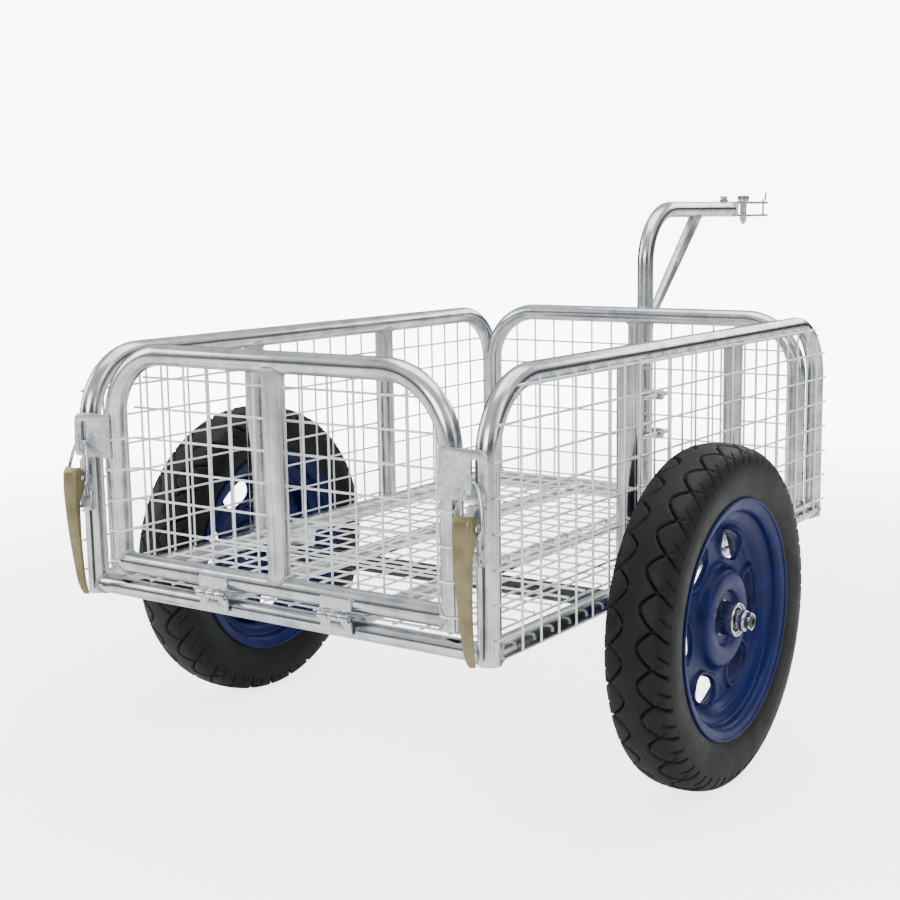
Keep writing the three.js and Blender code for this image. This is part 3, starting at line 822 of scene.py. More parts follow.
@dataclass(frozen=True)
class Finish:
    """A surface: two shades mixed by clouds and streaks, with grain in its gloss and relief.

    Attributes:
        name: common name of the material and how its surface was made.
        slot: material slot of the record; not used.
        dark: shade in the troughs of the pattern.
        light: shade on its crests.
        metallic: 0 for a dielectric, 1 for a metal.
        gloss: lowest and highest roughness.
        cloud_mm: size of the broad patches.
        streak_mm: width and length of the streaks, or of the grain where both are the same.
        streak_share: how much of the shade comes from the streaks.
        relief_mm: depth of the fine relief.
        relief_size_mm: size of the fine relief.
        coat: weight of a clear glossy layer over the colour.
        specular: strength of the reflection at the surface, 0.5 for the usual one.
        where: what the pattern lies along.
        cells: whether the broad patches are crystal cells, as in zinc spangle.
    """

    name: str
    slot: str
    dark: str
    light: str
    metallic: float
    gloss: tuple[float, float]
    cloud_mm: float
    streak_mm: tuple[float, float]
    streak_share: float
    relief_mm: float
    relief_size_mm: float
    coat: float = 0.0
    specular: float = 0.5
    where: Where = Where.LIE
    cells: bool = False

    def material(self) -> bpy.types.Material:
        """The finish's material, made once.

        Returns:
            The material.
        """
        made = bpy.data.materials.get(self.name)
        if made is not None:
            return made
        made = bpy.data.materials.new(self.name)
        made.use_nodes = True
        tree = made.node_tree
        tree.nodes.clear()
        place = self.place(tree)
        clouds = self.clouds(tree, place)
        streaks = self.streaks(tree, place)
        shade = add_node(
            tree, "ShaderNodeMix", {0: self.streak_share, 2: clouds, 3: streaks}, data_type="FLOAT"
        )
        colour = add_node(tree, "ShaderNodeValToRGB", {0: shade.outputs[0]})
        colour.color_ramp.elements[0].position = 0.3
        colour.color_ramp.elements[0].color = linear(self.dark)
        colour.color_ramp.elements[1].position = 0.7
        colour.color_ramp.elements[1].color = linear(self.light)
        rough = add_node(
            tree,
            "ShaderNodeMapRange",
            {
                "Value": shade.outputs[0], "From Min": 0.3, "From Max": 0.7, "To Min": self.gloss[1],
                "To Max": self.gloss[0]
            },
        )
        grain = add_node(
            tree, "ShaderNodeTexNoise",
            {"Vector": place, "Scale": per_metre(self.relief_size_mm), "Detail": 3.0, "Roughness": 0.6}
        )
        bump = add_node(
            tree, "ShaderNodeBump",
            {"Height": grain.outputs[0], "Strength": 1.0, "Distance": self.relief_mm * MM}
        )
        shader = add_node(
            tree,
            "ShaderNodeBsdfPrincipled",
            {
                "Base Color": colour.outputs[0], "Metallic": self.metallic, "Roughness": rough.outputs[0],
                "Normal": bump.outputs[0], "Specular IOR Level": self.specular, "Coat Weight": self.coat,
                "Coat Roughness": 0.08
            },
        )
        out = tree.nodes.new("ShaderNodeOutputMaterial")
        tree.links.new(shader.outputs[0], out.inputs[0])
        return made

    def place(self, tree: Tree) -> Socket:
        """Coordinates that the patterns lie along, in metres."""
        if self.where is Where.LIE:
            return add_node(tree, "ShaderNodeAttribute", attribute_name="lie").outputs["Vector"]
        return add_node(tree, "ShaderNodeTexCoord").outputs["Object"]

    def clouds(self, tree: Tree, place: Socket) -> Socket:
        """Broad patches from 0 to 1.

        Args:
            tree: the material's node tree.
            place: coordinates that the pattern lies along.

        Returns:
            The shade of the patches at each point.
        """
        if self.cells:
            cells = add_node(
                tree, "ShaderNodeTexVoronoi", {"Vector": place, "Scale": per_metre(self.cloud_mm)}
            )
            return add_node(tree, "ShaderNodeSeparateColor", {0: cells.outputs["Color"]}).outputs[0]
        return add_node(
            tree, "ShaderNodeTexNoise", {"Vector": place, "Scale": per_metre(self.cloud_mm), "Detail": 2.0}
        ).outputs[0]

    def streaks(self, tree: Tree, place: Socket) -> Socket:
        """Fine streaks from 0 to 1, stretched along Z of the coordinates.

        Args:
            tree: the material's node tree.
            place: coordinates that the pattern lies along.

        Returns:
            The shade of the streaks at each point.
        """
        across, along = self.streak_mm
        stretched = add_node(
            tree, "ShaderNodeMapping",
            {"Vector": place, "Scale": (per_metre(across), per_metre(across), per_metre(along))}
        )
        return add_node(
            tree, "ShaderNodeTexNoise", {"Vector": stretched.outputs[0], "Scale": 1.0, "Detail": 3.0}
        ).outputs[0]

    def dress(self, piece: Piece) -> None:
        """Gives a piece this finish."""
        piece.data.materials.clear()
        piece.data.materials.append(self.material())


# Steel tube galvanised before it is bent. Drawing leaves faint lengthwise lines in the zinc, and
# the zinc itself is a bright, slightly cloudy light grey.
TUBE = Finish(
    name="galvanised drawn steel tube",
    slot="galvanised_steel",
    dark="#84898D",
    light="#EAECEE",
    metallic=1.0,
    gloss=(0.15, 0.27),
    cloud_mm=26.0,
    streak_mm=(1.6, 120.0),
    streak_share=0.55,
    relief_mm=0.035,
    relief_size_mm=1.4,
)
# Flat steel pressed, then dipped: small zinc crystals of slightly different greys.
PRESSING = Finish(
    name="galvanised pressed steel",
    slot="galvanised_steel",
    dark="#B4B8BB",
    light="#D3D6D8",
    metallic=1.0,
    gloss=(0.28, 0.4),
    cloud_mm=4.0,
    streak_mm=(2.0, 2.0),
    streak_share=0.6,
    relief_mm=0.05,
    relief_size_mm=1.2,
    cells=True,
)
# Welds brushed over with zinc paint: duller and rougher than the tube on either side.
BEAD = Finish(
    name="zinc-painted weld",
    slot="galvanised_steel",
    dark="#8F9498",
    light="#C6CACD",
    metallic=0.85,
    gloss=(0.42, 0.6),
    cloud_mm=4.0,
    streak_mm=(1.0, 1.0),
    streak_share=0.5,
    relief_mm=0.12,
    relief_size_mm=0.9,
)
# Drawn wire, galvanised after it is welded into a grid: brighter and smoother than the tubes.
WIRE = Finish(
    name="galvanised drawn wire",
    slot="grid_wire",
    dark="#E4E6E8",
    light="#FCFCFC",
    metallic=0.85,
    gloss=(0.3, 0.46),
    cloud_mm=14.0,
    streak_mm=(0.8, 0.8),
    streak_share=0.4,
    relief_mm=0.03,
    relief_size_mm=0.9,
    where=Where.OBJECT,
)
# Bright zinc from a plating bath, on small hardware: even, smooth and slightly blue.
ZINC = Finish(
    name="bright zinc-plated steel",
    slot="zinc_plate",
    dark="#A3A8AD",
    light="#DADDE0",
    metallic=1.0,
    gloss=(0.16, 0.3),
    cloud_mm=5.0,
    streak_mm=(0.7, 0.7),
    streak_share=0.45,
    relief_mm=0.02,
    relief_size_mm=0.7,
)
# Bare axle bar, dark with mill scale and oil.
DARK_STEEL = Finish(
    name="oiled dark steel",
    slot="zinc_plate",
    dark="#2C2E31",
    light="#55585C",
    metallic=0.9,
    gloss=(0.3, 0.5),
    cloud_mm=9.0,
    streak_mm=(1.0, 8.0),
    streak_share=0.5,
    relief_mm=0.04,
    relief_size_mm=1.0,
)
# Zinc with a yellow chromate: khaki that drifts to olive, with wear that shows pale.
YELLOW_ZINC = Finish(
    name="yellow-chromated zinc plate",
    slot="yellow_zinc",
    dark="#6A6246",
    light="#8A8160",
    metallic=0.7,
    gloss=(0.3, 0.42),
    cloud_mm=22.0,
    streak_mm=(1.6, 30.0),
    streak_share=0.25,
    relief_mm=0.03,
    relief_size_mm=1.1,
    where=Where.OBJECT,
)
# Stoved gloss enamel over pressed steel: deep navy with a faint orange peel under its shine.
ENAMEL = Finish(
    name="navy stoved enamel",
    slot="blue_paint",
    dark="#03103F",
    light="#051857",
    metallic=0.0,
    gloss=(0.34, 0.46),
    cloud_mm=30.0,
    streak_mm=(9.0, 9.0),
    streak_share=0.3,
    relief_mm=0.012,
    relief_size_mm=3.5,
    coat=0.04,
    specular=0.18,
    where=Where.OBJECT,
)
# Vulcanised carbon-black rubber: near black, with a low sheen and a dusty bloom in patches.
RUBBER = Finish(
    name="moulded carbon-black rubber",
    slot="tyre",
    dark="#030304",
    light="#08090A",
    metallic=0.0,
    gloss=(0.46, 0.62),
    cloud_mm=40.0,
    streak_mm=(1.5, 1.5),
    streak_share=0.4,
    relief_mm=0.06,
    relief_size_mm=0.9,
    specular=0.24,
    where=Where.OBJECT,
)


# ---- the workshop ----


@dataclass
class Workshop:
    """Turns shells and meshes into pieces that ride on the frame.

    Attributes:
        grid: tree of the wire grids.
        sectors: tree of the wheels' repeated sectors.
        beads: tree of the weld beads.
        made: names of the pieces so far.
    """

    grid: GridTree = field(default_factory=GridTree)
    sectors: RoundTree = field(default_factory=RoundTree)
    beads: BeadTree = field(default_factory=BeadTree)
    made: list[str] = field(default_factory=list)

    def add(
        self, name: str, shape: Shell | Mesh, body: str, finish: Finish,
        nodes: Sequence[str] = (), crease: float = 32
    ) -> Piece:
        """Makes a piece, dresses it and fixes it to its body.

        Args:
            name: name of the piece.
            shape: its shell, or its mesh in metres of the row frame.
            body: CAD body that it rides on.
            finish: its surface.
            nodes: CAD nodes that it stands for.
            crease: edges of a shell sharper than this many degrees stay sharp.

        Returns:
            The piece.
        """
        mesh = shape.mesh(name, crease) if isinstance(shape, Shell) else shape
        mesh.name = name
        piece = bpy.data.objects.new(name, mesh)
        bpy.context.scene.collection.objects.link(piece)
        finish.dress(piece)
        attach(piece, body)
        if nodes:
            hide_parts(*nodes)
        self.made.append(name)
        log.info("%s: %d faces on %s", name, len(mesh.polygons), body)
        return piece

    def lay_beads(self, name: str, loops: Sequence[np.ndarray], body: str, bead_mm: float = 2.1) -> None:
        """Lays a weld bead along each closed loop and makes one piece of them.

        Args:
            name: name of the piece.
            loops: closed paths in millimetres.
            body: CAD body that they ride on.
            bead_mm: radius of the bead.
        """
        points: list[list[float]] = []
        edges: list[tuple[int, int]] = []
        for loop in loops:
            start = len(points)
            points += (loop * MM + (0, GATE_PLANE, 0)).tolist()
            edges += [(start + i, start + (i + 1) % len(loop)) for i in range(len(loop))]
        base = bpy.data.meshes.new(name)
        base.from_pydata(points, edges, [])
        # Ripples of a weld run by hand are 2 to 3 mm apart.
        values = {
            "Bead radius": bead_mm * MM, "Ripple pitch": 2.6 * MM, "Seed": 4.0, "Material": BEAD.material()
        }
        mesh = run_tree(self.beads.tree, base, values)
        keep_lie(mesh)
        close_up(mesh, 80)
        self.add(name, mesh, body, BEAD)


def keep_lie(mesh: Mesh) -> None:
    """Gives a mesh the lie attribute, where each point lies as it is."""
    places = np.zeros(len(mesh.vertices) * 3)
    mesh.vertices.foreach_get("co", places)
    attribute = mesh.attributes.get("lie") or mesh.attributes.new("lie", "FLOAT_VECTOR", "POINT")
    attribute.data.foreach_set("vector", places)


def saddle_loop(start: Point, axis: Point, radius: float, saddle: Saddle, steps: int = 96) -> np.ndarray:
    """Closed path where a coped tube meets the tube that it is welded to.

    Args:
        start: where the two middle lines meet.
        axis: direction of the coped tube, away from the joint.
        radius: its outer radius.
        saddle: the tube that it meets.
        steps: points round the loop.

    Returns:
        The loop's points, one per row.
    """
    along = unit(np.array(axis, float))
    helper = np.array((0.0, 0.0, 1.0)) if abs(along[2]) < 0.9 else np.array((1.0, 0.0, 0.0))
    side = unit(np.cross(along, helper))
    normal = np.cross(side, along)
    angle = round_angles(steps)
    offsets = radius * (np.cos(angle)[:, None] * normal + np.sin(angle)[:, None] * side)
    depth = saddle.depth(offsets, along)
    return np.array(start, float) + offsets * 1.02 + (depth[:, None] + 0.4) * along


@dataclass
class WireGrid:
    """A welded wire grid in one plane.

    Attributes:
        origin: its lower corner, where the first leg's middle line is.
        across: direction of its width.
        outward: direction from the level wires to the uprights.
        width: between the middle lines of the legs.
        height: up to the top tube's middle line.
        corner: radius of the hoop above it.
        columns: number of upright wires.
        first_column: place of the first of them.
        column_pitch: between them.
        rows: number of level wires.
        first_row: height of the first of them.
        row_pitch: between them.
        overhang: how far the level wires reach past the legs' middle lines.
        foot: where the upright wires start.
        wire: diameter of the wire.
    """

    origin: Point
    across: Point
    outward: Point
    width: float
    height: float
    corner: float
    columns: int
    first_column: float
    column_pitch: float
    rows: int
    first_row: float
    row_pitch: float
    overhang: float
    foot: float
    wire: float = 2.8

    def mesh(self, shop: Workshop) -> Mesh:
        """Runs the grid's tree and puts the result in its place.

        Args:
            shop: the workshop that holds the tree.

        Returns:
            The grid's mesh in metres of the row frame.
        """
        values = {
            "Width": self.width * MM, "Height": self.height * MM, "Corner": self.corner * MM,
            "Wire radius": self.wire / 2 * MM, "First column": self.first_column * MM,
            "Column pitch": self.column_pitch * MM, "Columns": self.columns,
            "First row": self.first_row * MM, "Row pitch": self.row_pitch * MM, "Rows": self.rows,
            "Overhang": self.overhang * MM, "Foot": self.foot * MM, "Material": WIRE.material()
        }
        mesh = run_tree(shop.grid.tree, bpy.data.meshes.new("grid"), values)
        x_axis = Vector(self.across)
        y_axis = Vector(self.outward)
        up = x_axis.cross(y_axis)
        turn = Matrix((x_axis, y_axis, up)).transposed().to_4x4()
        origin = Vector(self.origin) * MM + Vector((0, GATE_PLANE, 0))
        mesh.transform(Matrix.Translation(origin) @ turn)
        close_up(mesh, 40)
        return mesh


# ---- frame ----

TUBE_R = 12.5
# The posts' ends are sawn square, this far from the middle line of the tube that they meet.
POST_CUT = 7.0
BEND_R = 80.0
LEG_END_Z = 227.0
RAIL_Z = 239.0
SIDE_X = 285.0
LENGTH = 857.0
SIDE_TOP_Z = 513.0
FRONT_X = 265.0
FRONT_Y = 838.0
FRONT_TOP_Z = 517.0
UP = (0.0, 0.0, 1.0)
ALONG = (0.0, 1.0, 0.0)
ACROSS = (1.0, 0.0, 0.0)
SIDES = (("left", -1), ("right", 1))


@dataclass
class SideFrame:
    """One side of the bed: a bent hoop, its bottom rail, two posts and the grid outside them.

    Attributes:
        side: left or right.
        sign: -1 or 1, the side's sign along X.
        wire_levels: number of level wires.
        wire_pitch: distance between them.
    """

    side: str
    sign: int
    wire_levels: int = 8
    wire_pitch: float = 36.0

    @property
    def x(self) -> float:
        """Place of the frame's middle plane."""
        return self.sign * SIDE_X

    def hoop(self) -> Shell:
        """The hoop: one tube with two bends, open at its lower ends."""
        x = self.x
        corners = [(x, 0, LEG_END_Z), (x, 0, SIDE_TOP_Z), (x, LENGTH, SIDE_TOP_Z), (x, LENGTH, LEG_END_Z)]
        shell = Shell()
        shell.tube(arc_path(corners, BEND_R), TUBE_R, ACROSS, (End.OPEN, End.OPEN))
        return shell

    def rail(self) -> Shell:
        """The bottom rail between the hoop's legs."""
        upright = Saddle(UP, TUBE_R)
        shell = Shell()
        shell.coped_tube((self.x, 0, RAIL_Z), (self.x, LENGTH, RAIL_Z), TUBE_R, (upright, upright))
        return shell

    def post(self, third: int) -> Shell:
        """A post a third or two thirds along the frame."""
        level = Saddle(ALONG, TUBE_R, POST_CUT)
        y = LENGTH * third / 3
        shell = Shell()
        shell.coped_tube((self.x, y, RAIL_Z), (self.x, y, SIDE_TOP_Z), TUBE_R, (level, level))
        return shell

    def grid(self) -> WireGrid:
        """The grid, welded to the outboard faces of the tubes."""
        plane = self.sign * (SIDE_X + TUBE_R + 1.3)
        right = self.sign > 0
        return WireGrid(
            origin=(plane, LENGTH if right else 0, RAIL_Z), across=(0, -1, 0) if right else ALONG,
            outward=(self.sign, 0, 0), width=LENGTH, height=SIDE_TOP_Z - RAIL_Z, corner=BEND_R, columns=23,
            first_column=LENGTH / 24, column_pitch=LENGTH / 24, rows=self.wire_levels,
            first_row=254 - RAIL_Z, row_pitch=self.wire_pitch, overhang=9, foot=-3
        )

    def weld_loops(self) -> list[np.ndarray]:
        """Paths of the welds at the rail's and the posts' ends."""
        upright, level = Saddle(UP, TUBE_R), Saddle(ALONG, TUBE_R, POST_CUT)
        loops = [
            saddle_loop((self.x, 0, RAIL_Z), ALONG, TUBE_R, upright),
            saddle_loop((self.x, LENGTH, RAIL_Z), (0, -1, 0), TUBE_R, upright),
        ]
        for third in (1, 2):
            y = LENGTH * third / 3
            loops.append(saddle_loop((self.x, y, RAIL_Z), UP, TUBE_R, level))
            loops.append(saddle_loop((self.x, y, SIDE_TOP_Z), (0, 0, -1), TUBE_R, level))
        return loops

    def build(self, shop: Workshop) -> None:
        """Makes and dresses the side frame's pieces.

        Args:
            shop: the workshop that makes and keeps the pieces.
        """
        side = self.side
        shop.add(f"side_hoop_{side}_tube", self.hoop(), "chassis", TUBE, [f"side_hoop_{side}"])
        shop.add(f"bed_rail_{side}_tube", self.rail(), "chassis", TUBE, [f"bed_rail_{side}"])
        for third in (1, 2):
            node = f"side_post_{side}_{third}"
            shop.add(f"{node}_tube", self.post(third), "chassis", TUBE, [node])
        shop.add(f"side_grid_{side}_wires", self.grid().mesh(shop), "chassis", WIRE, [f"side_grid_{side}"])
        shop.lay_beads(f"side_welds_{side}", self.weld_loops(), "chassis")


@dataclass
class FrontFrame:
    """The fixed front panel: a bent hoop, a bottom tube, a middle post and its grid."""

    wire_levels: int = 7
    columns: int = 14

    def hoop(self) -> Shell:
        """The hoop: one tube with two bends."""
        x, y = FRONT_X, FRONT_Y
        corners = [(-x, y, LEG_END_Z), (-x, y, FRONT_TOP_Z), (x, y, FRONT_TOP_Z), (x, y, LEG_END_Z)]
        shell = Shell()
        shell.tube(arc_path(corners, BEND_R), TUBE_R, ALONG, (End.OPEN, End.OPEN))
        return shell

    def grid(self) -> WireGrid:
        """The grid, welded to the outer faces of the tubes."""
        pitch = 2 * FRONT_X / (self.columns + 1)
        return WireGrid(
            origin=(-FRONT_X, FRONT_Y + TUBE_R + 1.3, RAIL_Z), across=ACROSS, outward=ALONG,
            width=2 * FRONT_X, height=FRONT_TOP_Z - RAIL_Z, corner=BEND_R, columns=self.columns,
            first_column=pitch, column_pitch=pitch, rows=self.wire_levels, first_row=15, row_pitch=36,
            overhang=8, foot=-3
        )

    def build(self, shop: Workshop) -> None:
        """Makes and dresses the front frame's pieces.

        Args:
            shop: the workshop that makes and keeps the pieces.
        """
        upright, level = Saddle(UP, TUBE_R), Saddle(ACROSS, TUBE_R, POST_CUT)
        shop.add("front_hoop_tube", self.hoop(), "chassis", TUBE, ["front_hoop"])
        bottom = Shell()
        bottom.coped_tube((-FRONT_X, FRONT_Y, RAIL_Z), (FRONT_X, FRONT_Y, RAIL_Z), TUBE_R, (upright, upright))
        shop.add("front_bottom_round_tube", bottom, "chassis", TUBE, ["front_bottom_tube"])
        post = Shell()
        post.coped_tube((0, FRONT_Y, RAIL_Z), (0, FRONT_Y, FRONT_TOP_Z), TUBE_R, (level, level))
        shop.add("front_centre_post_tube", post, "chassis", TUBE, ["front_centre_post"])
        shop.add("front_grid_wires", self.grid().mesh(shop), "chassis", WIRE, ["front_grid"])
        loops = [
            saddle_loop((-FRONT_X, FRONT_Y, RAIL_Z), ACROSS, TUBE_R, upright),
            saddle_loop((FRONT_X, FRONT_Y, RAIL_Z), (-1, 0, 0), TUBE_R, upright),
            saddle_loop((0, FRONT_Y, RAIL_Z), UP, TUBE_R, level),
            saddle_loop((0, FRONT_Y, FRONT_TOP_Z), (0, 0, -1), TUBE_R, level),
        ]
        shop.lay_beads("front_welds", loops, "chassis")


@dataclass
class BedFloor:
    """Sill, two long tubes and the grid that lies on them."""

    sill_r: float = 10.5
    sill_z: float = 238.0
    rail_r: float = 10.0
    rail_x: float = 95.0
    rail_z: float = 241.5

    def grid(self) -> WireGrid:
        """The floor grid, with its border wires along all four edges."""
        half = SIDE_X - TUBE_R - 3
        start, end = 2.0, FRONT_Y - TUBE_R - 3
        columns, rows = 16, 24
        return WireGrid(
            origin=(-half, start, RAIL_Z + TUBE_R + 1.7), across=ACROSS, outward=(0, 0, -1), width=2 * half,
            height=end - start, corner=0.0, columns=columns, first_column=0,
            column_pitch=2 * half / (columns - 1), rows=rows, first_row=0,
            row_pitch=(end - start) / (rows - 1), overhang=0, foot=0
        )

    def build(self, shop: Workshop) -> None:
        """Makes and dresses the floor's pieces.

        Args:
            shop: the workshop that makes and keeps the pieces.
        """
        upright = Saddle(UP, TUBE_R)
        sill = Shell()
        sill.coped_tube((-SIDE_X, 0, self.sill_z), (SIDE_X, 0, self.sill_z), self.sill_r, (upright, upright))
        shop.add("sill_round_tube", sill, "chassis", TUBE, ["sill_tube"])
        sill_saddle, front_saddle = Saddle(ACROSS, self.sill_r), Saddle(ACROSS, TUBE_R)
        loops = [
            saddle_loop((-SIDE_X, 0, self.sill_z), ACROSS, self.sill_r, upright),
            saddle_loop((SIDE_X, 0, self.sill_z), (-1, 0, 0), self.sill_r, upright),
        ]
        for side, sign in SIDES:
            x = sign * self.rail_x
            start, end = (x, 0, self.rail_z), (x, FRONT_Y, self.rail_z)
            rail = Shell()
            rail.coped_tube(start, end, self.rail_r, (sill_saddle, front_saddle))
            shop.add(f"floor_rail_{side}_tube", rail, "chassis", TUBE, [f"floor_rail_{side}"])
            loops.append(saddle_loop(start, ALONG, self.rail_r, sill_saddle))
            loops.append(saddle_loop(end, (0, -1, 0), self.rail_r, front_saddle))
        shop.add("floor_grid_wires", self.grid().mesh(shop), "chassis", WIRE, ["floor_grid"])
        shop.lay_beads("floor_welds", loops, "chassis", 1.9)


# ---- axle and wheels ----

WHEEL_X = 359.0
AXLE_Y = 356.0
AXLE_Z = 204.0


@dataclass
class Axle:
    """The fixed axle bar, its brackets under the bed rails, and the end nuts."""

    beam_r: float = 12.0
    spindle_r: float = 8.0
    reach: float = 317.0
    tip: float = 413.0

    def bar(self) -> Shell:
        """The bar, stepped down to a threaded spindle with a centre hole at each end."""
        r, end = self.spindle_r, self.tip
        half = [
            (0, self.beam_r), (self.reach - 1, self.beam_r), (self.reach, self.beam_r - 1), (self.reach, r),
            (end - 20, r)
        ]
        # Thread of 1.5 mm pitch along the last 19 mm.
        for i in range(12):
            x = end - 19 + 1.5 * i
            half += [(x, r - 0.1), (x + 0.75, r - 0.9)]
        half += [
            (end - 1, r - 0.9), (end, r - 1.6), (end, 4.6), (end - 1, 4.2), (end - 9, 3.6), (end - 12, 0.05)
        ]
        mirrored = [(-x, radius) for x, radius in half[::-1]]
        outline = np.array(mirrored[:-1] + half)
        angle = round_angles(32)
        rows = np.zeros((len(outline), 32, 3))
        rows[:, :, 0] = outline[:, :1]
        rows[:, :, 1] = outline[:, 1:] * np.cos(angle)
        rows[:, :, 2] = outline[:, 1:] * np.sin(angle)
        shell = Shell()
        shell.lattice(rows + np.array((0, AXLE_Y, AXLE_Z)), caps=True)
        return shell

    def bracket(self, sign: int) -> Shell:
        """A pressed saddle that hangs the bar from the bed rail: two cheeks and a wrap.

        Args:
            sign: -1 or 1, the side's sign along X.

        Returns:
            The bracket.
        """
        shell = Shell()
        x = sign * SIDE_X
        cheek = rounded(
            [
                (AXLE_Y - 20, AXLE_Z - 16), (AXLE_Y + 20, AXLE_Z - 16), (AXLE_Y + 32, RAIL_Z - 2),
                (AXLE_Y - 32, RAIL_Z - 2)
            ],
            (15, 15, 3, 3),
        )
        angle = round_angles(32)
        hole = np.stack([AXLE_Y + 12.3 * np.cos(angle), AXLE_Z + 12.3 * np.sin(angle)], axis=1)
        for offset in (-11.0, 11.0):
            shell.plate(cheek, 3.4, (x + offset, 0, 0), ALONG, UP, holes=[hole], edge=0.5)
        for offset in (-24.0, 24.0):
            web = rounded([(-11, AXLE_Z + 6), (11, AXLE_Z + 6), (11, RAIL_Z - 3), (-11, RAIL_Z - 3)], 2)
            shell.plate(web, 3.0, (x, AXLE_Y + offset, 0), ACROSS, UP, edge=0.5)
        return shell

    def build(self, shop: Workshop) -> None:
        """Makes and dresses the axle's pieces.

        Args:
            shop: the workshop that makes and keeps the pieces.
        """
        shop.add("axle_bar", self.bar(), "chassis", DARK_STEEL, ["axle"])
        for side, sign in SIDES:
            node = f"axle_bracket_{side}"
            shop.add(f"{node}_pressing", self.bracket(sign), "chassis", PRESSING, [node])
            nut = Shell()
            nut.hexagon((sign * (self.tip - 5.5), AXLE_Y, AXLE_Z), 0, 19, 8, self.spindle_r - 0.1)
            collar = np.array([(36.6, 8.2), (36.6, 12), (37.2, 12.6), (44.4, 12.6), (45, 12), (45, 8.2)])
            nut.turned(collar, (sign * WHEEL_X, AXLE_Y, AXLE_Z), sign=sign, sides=48)
            shop.add(f"axle_nut_{side}_hexagon", nut, "chassis", ZINC, [f"axle_nut_{side}"])


@dataclass
class Tyre:
    """A pneumatic tyre with pointed shoulder blocks each side of a smooth band.

    Attributes:
        radius: outer radius.
        blocks: blocks round one side.
        groove: depth of the grooves.
        groove_width: width of the grooves between blocks.
        columns: facets along one block.
        tread_rows: rows of facets across the tread.
    """

    radius: float = 204.0
    blocks: int = 30
    groove: float = 3.6
    groove_width: float = 2.2
    columns: int = 28
    tread_rows: int = 60

    def profile(self) -> np.ndarray:
        """Outside of the tyre from bead to bead, as [x, radius] points."""
        wall = [(27.5, 129.5), (31.5, 134.0), (34.6, 144.5), (38.4, 157), (40, 170), (39.0, 181)]
        right = smooth_line(wall, 3)[:-1]
        crown = smooth_line([(39.0, 181), (35.4, 192), (29.0, 198.6), (20, 202), (10, 203.6), (0, 204)], 40)
        length = np.concatenate([[0], np.cumsum(np.linalg.norm(np.diff(crown, axis=0), axis=1))])
        even = np.linspace(0, length[-1], self.tread_rows // 2 + 1)
        tread = np.stack([np.interp(even, length, crown[:, i]) for i in (0, 1)], axis=1)
        half = np.vstack([right, tread])
        return np.vstack([half, (half[:-1] * (-1, 1))[::-1]])

    def cut(self, across: np.ndarray, turn: np.ndarray) -> np.ndarray:
        """Depth of the tread's grooves.

        Args:
            across: distance over the crown from the tyre's middle plane, with its sign.
            turn: angle round the tyre, as a fraction of one block.

        Returns:
            Depth below the smooth outside at each point.
        """
        pitch = TURN * self.radius / self.blocks
        # The blocks of one side stand half a block on from those of the other.
        phase = np.where(across < 0, turn + 0.5, turn)
        out = np.abs(across)
        apex, crossing, shoulder = 9.0, 27.0, 47.0
        reach = np.clip((out - apex) / (shoulder - apex), 0, None)
        lower = 0.86 * reach**0.6
        upper = 0.70 * reach**0.6
        steep = 0.6 * 0.8 * pitch / (shoulder - apex) * np.maximum(reach, 0.02) ** -0.4
        depth = np.zeros_like(out)

        def groove(centre: np.ndarray, width: float, share: float, live: np.ndarray) -> None:
            """Presses one family of grooves into depth."""
            off = np.abs((phase - centre + 0.5) % 1 - 0.5) * pitch / np.sqrt(1 + steep**2)
            pressed = self.groove * share * smoothstep((width / 2 + 0.9 - off) / 1.3)
            np.maximum(depth, pressed * live, out=depth)

        outside = smoothstep((out - apex + 1.6) / 1.6)
        ends = 1 - smoothstep((out - shoulder) / 1.8)
        inner = 1 - smoothstep((out - crossing) / 1.6)
        groove(lower, self.groove_width, 1.0, outside * ends)
        groove(-upper, self.groove_width, 1.0, outside * inner)
        groove(-upper, 1.2, 0.5, smoothstep((out - crossing) / 1.5) * (1 - smoothstep((out - 36) / 2)))
        groove(lower - 0.45, 1.4, 0.7, smoothstep((out - 31) / 1.5) * ends)
        return depth

    def sector(self) -> Mesh:
        """One block's length of the tyre about the X axis, closed by its inside."""
        outside = self.profile()
        turn = np.linspace(0, 1, self.columns + 1)
        steps = np.linalg.norm(np.diff(outside, axis=0), axis=1)
        length = np.concatenate([[0], np.cumsum(steps)])
        across = np.broadcast_to(length[-1] / 2 - length, (self.columns + 1, len(outside)))
        depth = self.cut(across, turn[:, None] * np.ones_like(across))
        # Grooves are cut square to the outside, and only on the tread.
        normal = unit(np.gradient(outside, axis=0))[:, ::-1] * (1, -1)
        normal *= np.sign(normal[len(normal) // 2, 1])
        tread = smoothstep((outside[:, 1] - 178) / 4)
        cut_x = outside[None, :, 0] - normal[None, :, 0] * depth * tread
        cut_r = outside[None, :, 1] - normal[None, :, 1] * depth * tread
        for ring in (149.5, 153.5):
            cut_x = cut_x + np.sign(outside[:, 0]) * 0.7 * np.exp(-(((outside[:, 1] - ring) / 1.1) ** 2))
        half = [(20, 130), (27, 145), (32.5, 170), (28, 188), (0, 196)]
        inner = np.array([(-x, r) for x, r in half] + half[-2::-1])
        ring_x = np.concatenate([cut_x, np.broadcast_to(inner[:, 0], (len(turn), len(inner)))], axis=1)
        ring_r = np.concatenate([cut_r, np.broadcast_to(inner[:, 1], (len(turn), len(inner)))], axis=1)
        angle = turn[:, None] * TURN / self.blocks
        rows = np.stack([ring_x, ring_r * np.cos(angle), ring_r * np.sin(angle)], axis=2) * MM
        faces = quads(*rows.shape[:2])
        mesh = bpy.data.meshes.new("tyre sector")
        mesh.from_pydata(rows.reshape(-1, 3).tolist(), [], faces)
        return mesh


